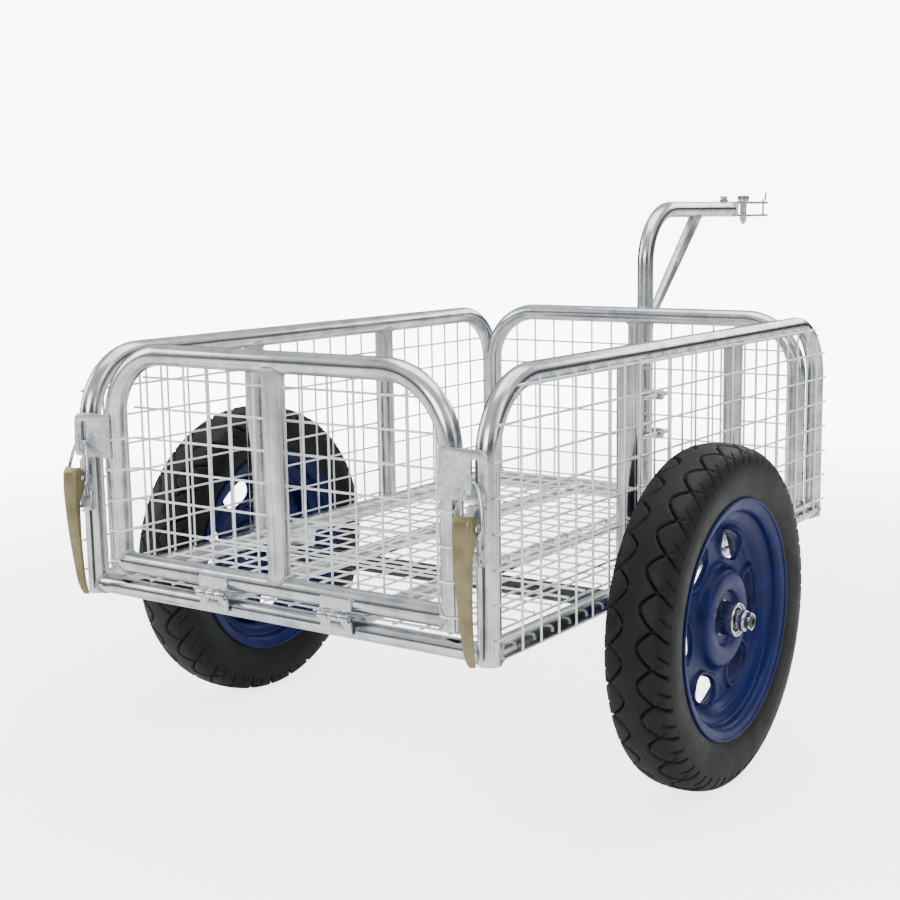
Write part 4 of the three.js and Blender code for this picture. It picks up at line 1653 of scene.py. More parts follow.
@dataclass
class WheelDisc:
    """The pressed disc of a wheel: a domed middle and six vents with raised surrounds.

    Attributes:
        vents: number of vents.
        vent_r: radius at which they lie.
        inner: radius where the repeated part starts.
        outer: radius where it ends.
        arc_steps: facets along one vent's share of the rim.
        side_steps: facets along its straight sides.
        rings: rows of faces from the vent's edge to the sides.
    """

    vents: int = 6
    vent_r: float = 87.0
    inner: float = 62.0
    outer: float = 108.0
    arc_steps: int = 40
    side_steps: int = 16
    rings: int = 20

    # Height of the disc's outer face beyond the wheel's middle plane, for each radius.
    FACE = (
        (20.6, 16.0), (29.5, 16.0), (31.5, 17.0), (33.5, 21.2), (36.0, 22.6), (44.0, 23.6), (52.0, 22.6),
        (56.0, 20.6), (57.8, 17.4), (59.6, 13.6), (62.0, 10.4), (66.0, 8.2), (72.0, 7.0), (88.0, 6.2),
        (101.0, 6.0), (105.0, 7.0), (108.0, 9.6), (111.0, 13.4), (114.4, 15.0)
    )

    def height(self, r: np.ndarray) -> np.ndarray:
        """Height of the plain turned face at a radius."""
        line = smooth_line(self.FACE, 4)
        return np.interp(r, line[:, 0], line[:, 1])

    def vent_edge(self, angle: np.ndarray) -> np.ndarray:
        """Distance from a vent's middle to its edge, by the direction round the vent.

        Args:
            angle: 0 points away from the axle.

        Returns:
            One distance for each angle: a rounded square, wider away from the axle.
        """
        c, s = np.cos(angle), np.sin(angle)
        wide = 25.0 + 3.0 * c
        return (np.abs(c / 15.5) ** 3.0 + np.abs(s / wide) ** 3.0) ** (-1 / 3.0)

    def border(self) -> np.ndarray:
        """Edge of one vent's share of the disc, as [radial, sideways] points round it."""
        half = math.pi / self.vents
        arc = np.linspace(-half, half, self.arc_steps + 1)
        side = np.linspace(self.outer, self.inner, self.side_steps + 1)[1:-1]
        polar = [(self.outer, a) for a in arc]
        polar += [(r, half) for r in side]
        polar += [(self.inner, a) for a in arc[::-1]]
        polar += [(r, -half) for r in side[::-1]]
        return np.array([(r * math.cos(a), r * math.sin(a)) for r, a in polar])

    def sector(self) -> Mesh:
        """One vent's share of the disc's outer face, about the X axis."""
        border = self.border()
        middle = np.array((self.vent_r, 0.0))
        out = border - middle
        angle = np.arctan2(out[:, 1], out[:, 0])
        edge = self.vent_edge(angle)[:, None] * np.stack([np.cos(angle), np.sin(angle)], axis=1)
        share = np.linspace(0, 1, self.rings + 1) ** 1.5
        flat = middle + edge[None] * (1 - share[:, None, None]) + out[None] * share[:, None, None]
        r = np.linalg.norm(flat, axis=2)
        away = np.linalg.norm(flat - middle, axis=2) - np.linalg.norm(edge, axis=1)[None]
        x = self.height(r)
        # A raised surround that is higher away from the axle, and an edge rolled back inwards.
        hood = 0.55 + 0.45 * smoothstep((r - 70) / 30)
        pad = 1 - smoothstep((away - 5.0) / 4.5)
        keep = smoothstep((r - 63) / 5) * (1 - smoothstep((r - 103) / 4))
        x = x + 5.2 * pad * hood * np.maximum(keep, 1 - smoothstep((away - 2) / 3))
        x = x - 4.5 * (1 - smoothstep(away / 2.6))
        # A small pressed dimple halfway between two vents.
        half = math.pi / self.vents
        for sign in (-1, 1):
            spot = np.array((97 * math.cos(half), sign * 97 * math.sin(half)))
            x = x + 2.0 * (1 - smoothstep(np.linalg.norm(flat - spot, axis=2) / 4.4))
        rows = np.stack([x, flat[:, :, 0], flat[:, :, 1]], axis=2) * MM
        faces = quads(*rows.shape[:2])
        mesh = bpy.data.meshes.new("disc sector")
        mesh.from_pydata(rows.reshape(-1, 3).tolist(), [], faces)
        return mesh

    def plain_rings(self, start: float, end: float) -> list[tuple[float, float]]:
        """Radius and height of the turned face between two radii."""
        line = smooth_line(self.FACE, 4)
        inside = [(r, x) for r, x in line if start + 0.2 < r < end - 0.2]
        return [
            (start, float(self.height(np.array(start)))), *inside, (end, float(self.height(np.array(end))))
        ]

    def mesh(self, shop: Workshop) -> Mesh:
        """The whole disc about the X axis, with its thickness, in metres.

        Args:
            shop: the workshop that makes and keeps the pieces.

        Returns:
            The mesh.
        """
        whole = run_tree(
            shop.sectors.tree, self.sector(),
            {"Count": self.vents, "Merge": 0.00001, "Material": ENAMEL.material()}
        )
        work = bmesh.new()
        work.from_mesh(whole)
        sides = self.vents * self.arc_steps
        half = math.pi / self.vents
        for start, end in ((self.FACE[0][0], self.inner), (self.outer, self.FACE[-1][0])):
            rings = self.plain_rings(start, end)
            rows = []
            for r, x in rings:
                rows.append(
                    [
                        work.verts.new(
                            (
                                x * MM, r * MM * math.cos(TURN * i / sides - half),
                                r * MM * math.sin(TURN * i / sides - half)
                            )
                        )
                        for i in range(sides)
                    ]
                )
            for low, high in zip(rows, rows[1:]):
                for i in range(sides):
                    work.faces.new((low[i], low[(i + 1) % sides], high[(i + 1) % sides], high[i]))
        bmesh.ops.remove_doubles(work, verts=work.verts, dist=2e-5)
        bmesh.ops.recalc_face_normals(work, faces=work.faces)
        if sum(face.normal.x for face in work.faces) < 0:
            bmesh.ops.reverse_faces(work, faces=work.faces)
        work.to_mesh(whole)
        work.free()
        return thickened(whole, 2.4)


def thickened(mesh: Mesh, wall_mm: float) -> Mesh:
    """A copy of an open surface with a wall behind it.

    Args:
        mesh: the surface, whose faces point away from the wall.
        wall_mm: thickness of the wall.

    Returns:
        The closed mesh.
    """
    carrier = bpy.data.objects.new("carrier", mesh)
    bpy.context.scene.collection.objects.link(carrier)
    solidify = carrier.modifiers.new("wall", "SOLIDIFY")
    solidify.thickness = wall_mm * MM
    solidify.offset = -1
    result = bpy.data.meshes.new_from_object(carrier.evaluated_get(bpy.context.evaluated_depsgraph_get()))
    carrier.modifiers.remove(solidify)
    bpy.data.objects.remove(carrier)
    return result


@dataclass
class Wheel:
    """A wheel: tyre, pressed rim, hub and bearings, which all turn on the spindle.

    Attributes:
        side: left or right.
        sign: -1 or 1, the side's sign along X.
        tyre: the tyre.
        disc: the rim's disc.
        vent_phase: degrees from +Y towards +Z to the first vent.
        hub_r: outer radius of the hub.
    """

    side: str
    sign: int
    tyre: Tyre = field(default_factory=Tyre)
    disc: WheelDisc = field(default_factory=WheelDisc)
    vent_phase: float = 8.0
    hub_r: float = 20.0

    # Middle line of the rim's wall on its outer half, as [x, radius] from the wheel's middle.
    BARREL = (
        (0, 111.5), (10, 111.8), (14.5, 114.0), (17.4, 119.0), (19.2, 124.0), (21.8, 126.8), (25.2, 127.6),
        (28.8, 128.6), (31.4, 131.6), (32.7, 136.0), (33.6, 139.6), (35.0, 141.2)
    )

    def settle(self, mesh: Mesh) -> Mesh:
        """Moves a mesh made about the X axis to this wheel's place, its outer face outwards."""
        centre = Matrix.Translation((self.sign * WHEEL_X * MM, AXLE_Y * MM + GATE_PLANE, AXLE_Z * MM))
        turn = Matrix.Identity(4) if self.sign > 0 else Matrix.Rotation(math.pi, 4, "Z")
        mesh.transform(centre @ turn @ Matrix.Rotation(math.radians(self.vent_phase), 4, "X"))
        return mesh

    def tyre_mesh(self, shop: Workshop) -> Mesh:
        """The tyre, made of its repeated blocks.

        Args:
            shop: the workshop that makes and keeps the pieces.

        Returns:
            The tyre's mesh.
        """
        mesh = run_tree(
            shop.sectors.tree, self.tyre.sector(),
            {"Count": self.tyre.blocks, "Merge": 0.00001, "Material": RUBBER.material()}
        )
        self.settle(mesh)
        close_up(mesh, 60)
        return mesh

    def rim_mesh(self, shop: Workshop) -> Mesh:
        """The rim: barrel with rolled lips, and the disc inside it.

        Args:
            shop: the workshop that makes and keeps the pieces.

        Returns:
            The rim's mesh.
        """
        half = smooth_line(self.BARREL, 3)
        line = np.vstack([(half * (-1, 1))[::-1][:-1], half])
        outline = sheet_outline(line, 2.6)
        middle = len(line)
        # The wall ends in a rolled bead at each lip.
        lip = [(35.0 + 1.9 * math.sin(a), 141.0 + 1.9 * math.cos(a)) for a in np.linspace(-1.2, 3.6, 12)]
        outline = np.vstack(
            [outline[: middle - 1], lip, outline[middle + 1 : -1], [(-x, r) for x, r in lip[::-1]]]
        )
        sides = 192
        angle = round_angles(sides)
        rows = np.zeros((sides, len(outline), 3))
        rows[:, :, 0] = outline[:, 0]
        rows[:, :, 1] = np.cos(angle)[:, None] * outline[:, 1]
        rows[:, :, 2] = np.sin(angle)[:, None] * outline[:, 1]
        faces = quads(*rows.shape[:2], True)
        barrel = bpy.data.meshes.new("barrel")
        barrel.from_pydata((rows.reshape(-1, 3) * MM).tolist(), [], faces)
        work = bmesh.new()
        work.from_mesh(self.disc.mesh(shop))
        work.from_mesh(barrel)
        bmesh.ops.recalc_face_normals(work, faces=work.faces)
        whole = bpy.data.meshes.new("rim")
        work.to_mesh(whole)
        work.free()
        self.settle(whole)
        close_up(whole, 50)
        return whole

    def build(self, shop: Workshop) -> None:
        """Makes and dresses the wheel's pieces.

        Args:
            shop: the workshop that makes and keeps the pieces.
        """
        side, sign, body = self.side, self.sign, f"wheel_{self.side}"
        centre = (sign * WHEEL_X, AXLE_Y, AXLE_Z)
        shop.add(f"tyre_{side}_treaded", self.tyre_mesh(shop), body, RUBBER, [f"tyre_{side}"])
        shop.add(f"rim_{side}_pressed", self.rim_mesh(shop), body, ENAMEL, [f"rim_{side}"])
        r = self.hub_r
        hub = Shell()
        shell = [
            (-38, r - 0.8), (-37.2, r), (35.2, r), (36, r - 0.8), (36, 18), (35.4, 17.5), (-37.4, 17.5),
            (-38, 18)
        ]
        hub.turned(shell, centre, sign=sign, sides=72)
        shop.add(f"hub_{side}_tube", hub, body, ZINC, [f"hub_{side}"])
        races, seals = Shell(), Shell()
        for low, high in ((23, 34), (-36, -25)):
            for inner, outer in ((8.3, 10.8), (14.6, 17.2)):
                ring = rounded([(low, inner), (high, inner), (high, outer), (low, outer)], 0.5, 3)
                races.turned(ring, centre, sign=sign, sides=48)
            seal = rounded([
                (low + 0.8, 10.7), (high - 0.8, 10.7), (high - 0.4, 12.6), (high - 0.8, 14.7),
                (low + 0.8, 14.7)
            ], 0.4, 3)
            seals.turned(seal, centre, sign=sign, sides=48)
        shop.add(f"bearing_races_{side}", races, body, ZINC, [f"bearing_set_{side}"])
        shop.add(f"bearing_seals_{side}", seals, body, RUBBER)
        # Tyre valve: a rubber stem through the rim's wall with a cap.
        valve = Shell()
        a = math.radians(self.vent_phase + 150)
        out = np.array((0, math.cos(a), math.sin(a)))
        root = np.array(centre, float) + out * 113 + np.array((sign * 3.0, 0, 0))
        tip = root - out * 15 + np.array((sign * 14.0, 0, 0))
        path = np.linspace(root, tip, 9)
        valve.tube(path, np.array([3.9, 3.7, 3.1, 2.9, 2.9, 3.6, 3.7, 3.6, 2.6]), (1, 0.2, 0.1), sides=20)
        shop.add(f"valve_{side}", valve, body, RUBBER)


# ---- tailgate ----

GATE_X = 241.0
GATE_TOP_Z = 519.0
GATE_BOTTOM_Z = 270.0
GATE_POST_X = 8.0


@dataclass
class Tailgate:
    """The drop-down gate: a bent hoop, a bottom tube, a middle post and the grid behind them."""

    wire: float = 2.8
    rows: int = 7
    first_row: float = 272.5
    row_pitch: float = 36.3
    first_column: float = 26.0
    column_pitch: float = 35.5

    def hoop(self) -> Shell:
        """The hoop, whose legs end level with the bottom tube's underside."""
        x, foot = GATE_X, GATE_BOTTOM_Z - TUBE_R
        corners = [(-x, 0, foot), (-x, 0, GATE_TOP_Z), (x, 0, GATE_TOP_Z), (x, 0, foot)]
        shell = Shell()
        shell.tube(arc_path(corners, BEND_R), TUBE_R, ALONG, (End.OPEN, End.OPEN))
        return shell

    def grid(self) -> WireGrid:
        """The grid, welded to the inner faces of the tubes."""
        return WireGrid(
            origin=(-GATE_X, TUBE_R + self.wire / 2, GATE_BOTTOM_Z), across=ACROSS, outward=ALONG,
            width=2 * GATE_X, height=GATE_TOP_Z - GATE_BOTTOM_Z, corner=BEND_R, columns=13,
            first_column=self.first_column, column_pitch=self.column_pitch, rows=self.rows,
            first_row=self.first_row - GATE_BOTTOM_Z, row_pitch=self.row_pitch, overhang=-16, foot=-6
        )

    def hooks(self) -> Shell:
        """Ends of the level wires, wrapped from behind round the front of each straight leg."""
        shell = Shell()
        r = TUBE_R + self.wire / 2 - 0.1
        for row in range(self.rows - 2):
            z = self.first_row + row * self.row_pitch
            for sign in (-1, 1):
                start = [(GATE_X - 17, r), (GATE_X - 15.2, 9.0)]
                wrap = [
                    (
                        GATE_X - r * math.cos(a), -r * math.sin(a)
                    ) for a in np.radians(np.linspace(-14, 150, 20))
                ]
                flat = np.array(start[:1] + wrap)
                path = np.stack([sign * flat[:, 0], flat[:, 1], np.full(len(flat), z)], axis=1)
                shell.tube(path, self.wire / 2, UP, sides=10)
        return shell

    def build(self, shop: Workshop) -> None:
        """Makes and dresses the tailgate's pieces.

        Args:
            shop: the workshop that makes and keeps the pieces.
        """
        upright, level = Saddle(UP, TUBE_R), Saddle(ACROSS, TUBE_R, POST_CUT)
        shop.add("gate_hoop_tube", self.hoop(), "tailgate", TUBE, ["gate_hoop"])
        bottom = Shell()
        ends = (-GATE_X, 0, GATE_BOTTOM_Z), (GATE_X, 0, GATE_BOTTOM_Z)
        bottom.coped_tube(*ends, TUBE_R, (upright, upright))
        shop.add("gate_bottom_round_tube", bottom, "tailgate", TUBE, ["gate_bottom_tube"])
        post = Shell()
        foot, top = (GATE_POST_X, 0, GATE_BOTTOM_Z), (GATE_POST_X, 0, GATE_TOP_Z)
        post.coped_tube(foot, top, TUBE_R, (level, level))
        shop.add("gate_centre_post_tube", post, "tailgate", TUBE, ["gate_centre_post"])
        shop.add("gate_grid_wires", self.grid().mesh(shop), "tailgate", WIRE, ["gate_grid"])
        shop.add("gate_wire_hooks", self.hooks(), "tailgate", WIRE)
        loops = [
            saddle_loop(ends[0], ACROSS, TUBE_R, upright),
            saddle_loop(ends[1], (-1, 0, 0), TUBE_R, upright), saddle_loop(foot, UP, TUBE_R, level),
            saddle_loop(top, (0, 0, -1), TUBE_R, level)
        ]
        shop.lay_beads("gate_welds", loops, "tailgate")


@dataclass
class Hinge:
    """A butt hinge: the lower leaf on the sill has two knuckles, the upper leaf has one."""

    side: str
    x: float
    y: float = -16.5
    z: float = 254.0
    width: float = 42.0
    pin_r: float = 2.5
    knuckle_r: float = 5.0
    play: float = 0.4

    def knuckle(self, shell: Shell, start: float, end: float) -> None:
        """Adds one rolled knuckle between two places along the pin."""
        bore, outer = self.pin_r + 0.3, self.knuckle_r
        ring = rounded([(start, bore), (end, bore), (end, outer), (start, outer)], 0.4, 3)
        shell.turned(ring, (0, self.y, self.z), sides=32)

    def build(self, shop: Workshop) -> None:
        """Makes and dresses the hinge's two leaves and its pin.

        Args:
            shop: the workshop that makes and keeps the pieces.
        """
        x, z, third, half = self.x, self.z, self.width / 6, self.width / 2
        upper, lower = Shell(), Shell()
        near, far = -third + self.play, third - self.play
        tab = rounded(
            [(-half, 21), (-half, 7), (near, 7), (near, 0.5), (far, 0.5), (far, 7), (half, 7), (half, 21)],
            (2.5, 1, 0.5, 0.5, 0.5, 0.5, 1, 2.5),
            4,
        )
        upper.plate(tab, 2.4, (x, -TUBE_R - 1.3, z), ACROSS, UP, edge=0.35)
        self.knuckle(upper, x + near, x + far)
        fork = rounded(
            [
                (-half, -21), (half, -21), (half, -0.5), (third + self.play, -0.5), (third + self.play, -7),
                (-third - self.play, -7), (-third - self.play, -0.5), (-half, -0.5)
            ],
            (2.5, 2.5, 0.5, 0.5, 0.8, 0.8, 0.5, 0.5),
            4,
        )
        lower.plate(fork, 2.4, (x, -TUBE_R - 1.0, z), ACROSS, UP, edge=0.35)
        self.knuckle(lower, x - half, x - third - self.play)
        self.knuckle(lower, x + third + self.play, x + half)
        side = self.side
        shop.add(f"hinge_upper_{side}", upper, "tailgate", ZINC, [f"hinge_upper_leaf_{side}"])
        shop.add(f"hinge_lower_{side}", lower, "chassis", ZINC, [f"hinge_lower_leaf_{side}"])
        pin = Shell()
        pin.rod((x - half - 1, self.y, z), (x + half + 1, self.y, z), self.pin_r, 0.7)
        shop.add(f"hinge_pin_{side}_rod", pin, "chassis", ZINC, [f"hinge_pin_{side}"])


# ---- latches ----


@dataclass
class Latch:
    """A toggle latch: hook plate on the gate, and a base, lever and wire loop on the leg.

    Attributes:
        side: left or right.
        sign: -1 or 1, the side's sign along X.
        x: place of the latch's middle.
        pivot: y and z of the lever's pin.
        bail_pivot: y and z of the loop's ends.
        hook: y and z of the loop's top.
    """

    side: str
    sign: int
    x: float = 280.0
    pivot: tuple[float, float] = (-30.0, 372.0)
    bail_pivot: tuple[float, float] = (-29.0, 366.0)
    hook: tuple[float, float] = (-20.7, 414.0)
    face: float = -12.8

    # Lever by height: [z, outer face y, free edge y, half width].
    LEVER = (
        (385.0, -38.2, -33.5, 10.6), (381.0, -40.6, -28.5, 10.9), (376.0, -42.0, -26.5, 10.9),
        (362.0, -42.9, -27.0, 10.7), (352.0, -43.0, -31.0, 10.4), (345.0, -42.9, -34.6, 10.1),
        (320.0, -41.7, -34.6, 9.3), (300.0, -40.0, -34.0, 8.5), (275.0, -37.4, -32.0, 7.4),
        (255.0, -35.0, -30.0, 6.5), (243.0, -32.6, -27.8, 5.9), (235.0, -29.8, -25.4, 5.2),
        (230.0, -27.0, -23.6, 3.9)
    )

    def at(self, points: Sequence[Point]) -> np.ndarray:
        """Points drawn for the right-hand latch about x = 0, moved to this latch's side."""
        return np.array(points, float) * (self.sign, 1, 1) + np.array((self.sign * self.x, 0, 0))

    def flat(self, outline: np.ndarray) -> np.ndarray:
        """An outline of [x, z] points, moved to this latch's side."""
        return outline * (self.sign, 1) + np.array((self.sign * self.x, 0))

    def hook_plate(self) -> Shell:
        """The plate on the gate's leg, with its slot and the tongue struck up from it."""
        outline = rounded([(-44, 395), (16, 395), (16, 447), (-44, 447)], (1.5, 4, 14, 2), 8)
        slot = rounded([(-4.5, 414), (4.5, 414), (4.5, 437.5), (-4.5, 437.5)], (1.5, 1.5, 4.4, 4.4))
        shell = Shell()
        shell.plate(self.flat(outline), 3, (0, self.face - 1.5, 0), ACROSS, UP, [self.flat(slot)], edge=0.6)
        line = [
            (self.face - 1.5, 398.5), (-20, 401.4), (-24.4, 404), (-26, 408.5), (-26, 416), (-25.8, 423.6)
        ]
        outline = sheet_outline(smooth_line(line, 5), 2.2)
        shell.plate(outline, 7, (self.sign * self.x, 0, 0), ALONG, UP, edge=0.4)
        return shell

    def base(self) -> Shell:
        """The plate on the side frame's leg: a window, two ears for the pin, and a lug with an eye."""
        shell = Shell()
        outline = rounded([(-10, 330), (10, 330), (10, 392), (-10, 392)], 3)
        window = rounded([(-4, 345), (4, 345), (4, 360), (-4, 360)], 1.5)
        shell.plate(self.flat(outline), 2, (0, self.face - 1, 0), ACROSS, UP, [self.flat(window)], edge=0.35)
        y, z = self.pivot
        angle = np.linspace(-2.0, -4.3, 10)
        tip = [(y + 4.5 * math.cos(a), z + 4.5 * math.sin(a)) for a in angle]
        ear = np.array([(self.face - 1, 352), *tip, (self.face - 1, 374)])
        for offset in (-8.2, 8.2):
            shell.plate(ear, 1.5, (self.sign * (self.x + offset), 0, 0), ALONG, UP, edge=0.3)
        lug = rounded([(self.face - 1, 332), (-24, 333), (-24, 343), (self.face - 1, 350)], (1, 4, 4, 1))
        eye = round_angles(16)
        hole = np.stack([-20 + 2.4 * np.cos(eye), 338 + 2.4 * np.sin(eye)], axis=1)
        shell.plate(lug, 1.5, (self.sign * (self.x + 9.15), 0, 0), ALONG, UP, [hole], edge=0.3)
        # A weld along each long side of the base.
        for offset in (-10.4, 10.4):
            path = self.at([(offset, self.face - 0.6, z) for z in np.linspace(333, 389, 30)])
            ripple = 1.5 + 0.25 * np.sin(np.arange(30) * 2.1)
            shell.tube(path, ripple, ALONG, sides=10)
        return shell

    def pin(self) -> Shell:
        """The lever's pin, with a riveted head at each end."""
        y, z = self.pivot
        head = [(-13.2, 1.8), (-12.9, 2.9), (-12.3, 3.2), (12.3, 3.2), (12.9, 2.9), (13.2, 1.8)]
        outline = [(x, r if abs(x) > 12.1 else 2.0) for x, r in head]
        outline[3:3] = [(-12.2, 2.0), (12.2, 2.0)]
        rows = self.turned_rows(outline, (self.sign * self.x, y, z))
        shell = Shell()
        shell.lattice(rows, caps=True)
        return shell

    @staticmethod
    def turned_rows(outline: Sequence[Point], centre: Point, sides: int = 24) -> np.ndarray:
        """Rings about an X axis, one for each [x, radius] point.

        Args:
            outline: the [x, radius] points.
            centre: a point of the axis.
            sides: facets round the axis.

        Returns:
            The rings.
        """
        angle = round_angles(sides)
        line = np.array(outline, float)
        rows = np.zeros((len(line), sides, 3))
        rows[:, :, 0] = line[:, :1]
        rows[:, :, 1] = line[:, 1:] * np.cos(angle)
        rows[:, :, 2] = line[:, 1:] * np.sin(angle)
        return rows + np.array(centre, float)

    def lever(self) -> Shell:
        """The lever: a pressed channel, open towards the leg, that narrows to a curved tip."""
        stations = smooth_line(self.LEVER, 4)
        wall, corner = 1.5, 3.6
        rows = []
        for z, outer, edge, half in stations:
            depth = max(edge - outer, corner + 0.4)
            free = outer + depth
            arc = np.linspace(0, math.pi / 2, 6)
            outside = [(-half, free)]
            outside += [(-half + corner * (1 - math.cos(a)), outer + corner * (1 - math.sin(a))) for a in arc]
            outside += [
                (half - corner * (1 - math.cos(a)), outer + corner * (1 - math.sin(a))) for a in arc[::-1]
            ]
            outside += [(half, free)]
            inner_half, inner_r = half - wall, corner - wall
            back = outer + wall
            inside = [(inner_half, free)]
            inside += [
                (inner_half - inner_r * (1 - math.cos(a)), back + inner_r * (1 - math.sin(a))) for a in arc
            ]
            inside += [
                (
                    -inner_half + inner_r * (1 - math.cos(a)), back + inner_r * (1 - math.sin(a))
                ) for a in arc[::-1]
            ]
            inside += [(-inner_half, free)]
            rows.append([(x, y, z) for x, y in outside + inside])
        shell = Shell()
        shell.lattice(self.at(rows), caps=True)
        rivet = [(-0.2, 3.4), (0.9, 3.1), (1.6, 2.2), (1.9, 0.9), (2.0, 0.05)]
        angle = round_angles(20)
        dome = np.zeros((len(rivet), 20, 3))
        for row, (out, r) in zip(dome, rivet):
            row[:, 0] = r * np.cos(angle)
            row[:, 1] = -35.3 - out
            row[:, 2] = 259 + r * np.sin(angle)
        shell.lattice(self.at(dome), caps=True)
        return shell

    def bail(self) -> Shell:
        """The wire loop: pear-shaped, with its ends turned in through the lever's cheeks."""
        y, z = self.bail_pivot
        hook_y, hook_z = self.hook
        cheek, rise, lean = 9.4, hook_z - z, hook_y - y
        # Half of the loop, as [x, share of the way up].
        half = [
            (cheek, 0), (13.4, 0.0), (15.2, 0.04), (16.0, 0.16), (15.4, 0.38), (12.6, 0.64), (9.0, 0.86),
            (5.0, 0.97)
        ]
        loop = [(-x, share) for x, share in half] + [(0, 1.0)] + half[::-1]
        path = smooth_line([(x, y + lean * share, z + rise * share) for x, share in loop], 5)
        tilt = (0.0, -(hook_z - z), hook_y - y)
        shell = Shell()
        shell.tube(self.at(path), 2.0, tilt, sides=16)
        return shell

    def build(self, shop: Workshop) -> None:
        """Makes and dresses the latch's pieces.

        Args:
            shop: the workshop that makes and keeps the pieces.
        """
        side = self.side
        plate = f"latch_hook_plate_{side}"
        shop.add(f"{plate}_pressing", self.hook_plate(), "tailgate", PRESSING, [plate])
        shop.add(f"latch_base_{side}_pressing", self.base(), "chassis", PRESSING, [f"latch_base_{side}"])
        shop.add(f"latch_pin_{side}_rivet", self.pin(), "chassis", ZINC, [f"latch_pin_{side}"])
        lever = f"latch_lever_{side}"
        shop.add(f"{lever}_channel", self.lever(), f"lever_{side}", YELLOW_ZINC, [lever], 45)
        shop.add(f"latch_bail_{side}_wire", self.bail(), f"bail_{side}", ZINC, [f"latch_bail_{side}"])


# ---- drawbar ----


@dataclass
class Drawbar:
    """The bent drawbar, its brace, and the U-bolts that hold it to the front frame's post."""

    y: float = 868.0
    z: float = 678.0
    foot_z: float = 246.0
    end_y: float = 1177.0
    bend: float = 85.0
    clamps: tuple[float, float] = (328.0, 389.0)
    clamp_wire: float = 3.4

    def tube(self) -> Shell:
        """The tube: upright, one bend, and a level run to the tow head."""
        shell = Shell()
        path = arc_path(
            [(0, self.y, self.foot_z), (0, self.y, self.z), (0, self.end_y, self.z)], self.bend, 20
        )
        shell.tube(path, TUBE_R, ACROSS, (End.OPEN, End.OPEN))
        return shell

    def brace(self) -> Shell:
        """The flat brace from the upright to the level run, with a hole halfway."""
        outline = rounded(
            [(self.y + 11, 488.5), (self.y + 14, 500), (1058, 666.5), (1030, 667.5), (self.y + 11.5, 512)],
            (1, 8, 1, 1, 1),
        )
        angle = round_angles(24)
        hole = np.stack([965 + 3.4 * np.cos(angle), 592 + 3.4 * np.sin(angle)], axis=1)
        shell = Shell()
        shell.plate(outline, 11.6, (0, 0, 0), ALONG, UP, [hole], edge=1.2)
        return shell

    def clamp(self, z: float) -> Shell:
        """One U-bolt with its saddle, nuts and threads.

        Args:
            z: height of the clamp.

        Returns:
            The clamp.
        """
        leg = TUBE_R + 4.0
        back, tip = FRONT_Y - leg, 914.0
        path = arc_path([(leg, tip, z), (leg, back, z), (-leg, back, z), (-leg, tip, z)], leg - 0.3, 14)
        shell = Shell()
        shell.tube(path, self.clamp_wire, UP, sides=18)
        for x in (-leg, leg):
            # Thread of 1.25 mm pitch from the saddle to the tip.
            ridge = [
                (y, self.clamp_wire + (0.35 if i % 2 else -0.1)) for i,
                y in enumerate(np.arange(885, tip, 0.63))
            ]
            ring = np.array([(ridge[0][0], 2.6), *ridge, (ridge[-1][0], 2.6)])
            shell.turned(ring, (x, 0, z), axis=1, sides=20)
            shell.hexagon((x, 892.4, z), 1, 12, 6.4)
            washer = rounded([(887.6, 3.6), (889.1, 3.6), (889.1, 7.6), (887.6, 7.6)], 0.3, 2)
            shell.turned(washer, (x, 0, z), axis=1, sides=32)
        saddle = rounded([(-leg - 8, -8), (leg + 8, -8), (leg + 8, 8), (-leg - 8, 8)], 4)
        shell.plate(saddle, 5.0, (0, 885.0, z), ACROSS, UP, edge=0.8)
        return shell

    def build(self, shop: Workshop) -> None:
        """Makes and dresses the drawbar's pieces.

        Args:
            shop: the workshop that makes and keeps the pieces.
        """
        shop.add("drawbar_bent_tube", self.tube(), "chassis", TUBE, ["drawbar_tube"])
        shop.add("drawbar_brace_bar", self.brace(), "chassis", PRESSING, ["drawbar_brace"])
        for name, z in zip(("lower", "upper"), self.clamps):
            shop.add(f"u_bolt_{name}_clamp", self.clamp(z), "chassis", ZINC, [f"u_bolt_{name}"])
        loops = []
        for y, z, along in ((self.y + 12.4, 500.0, (0, 0.64, 0.77)), (1044.0, 665.6, (0, 0.77, 0.64))):
            angle = round_angles(64)
            reach = np.array(UP if y < 900 else ALONG)
            loops.append(
                np.array((0, y, z))
                + np.cos(angle)[:, None] * 13.0 * reach
                + np.sin(angle)[:, None] * np.array((6.4, 0, 0))
            )
        shop.lay_beads("drawbar_welds", loops, "chassis", 1.9)


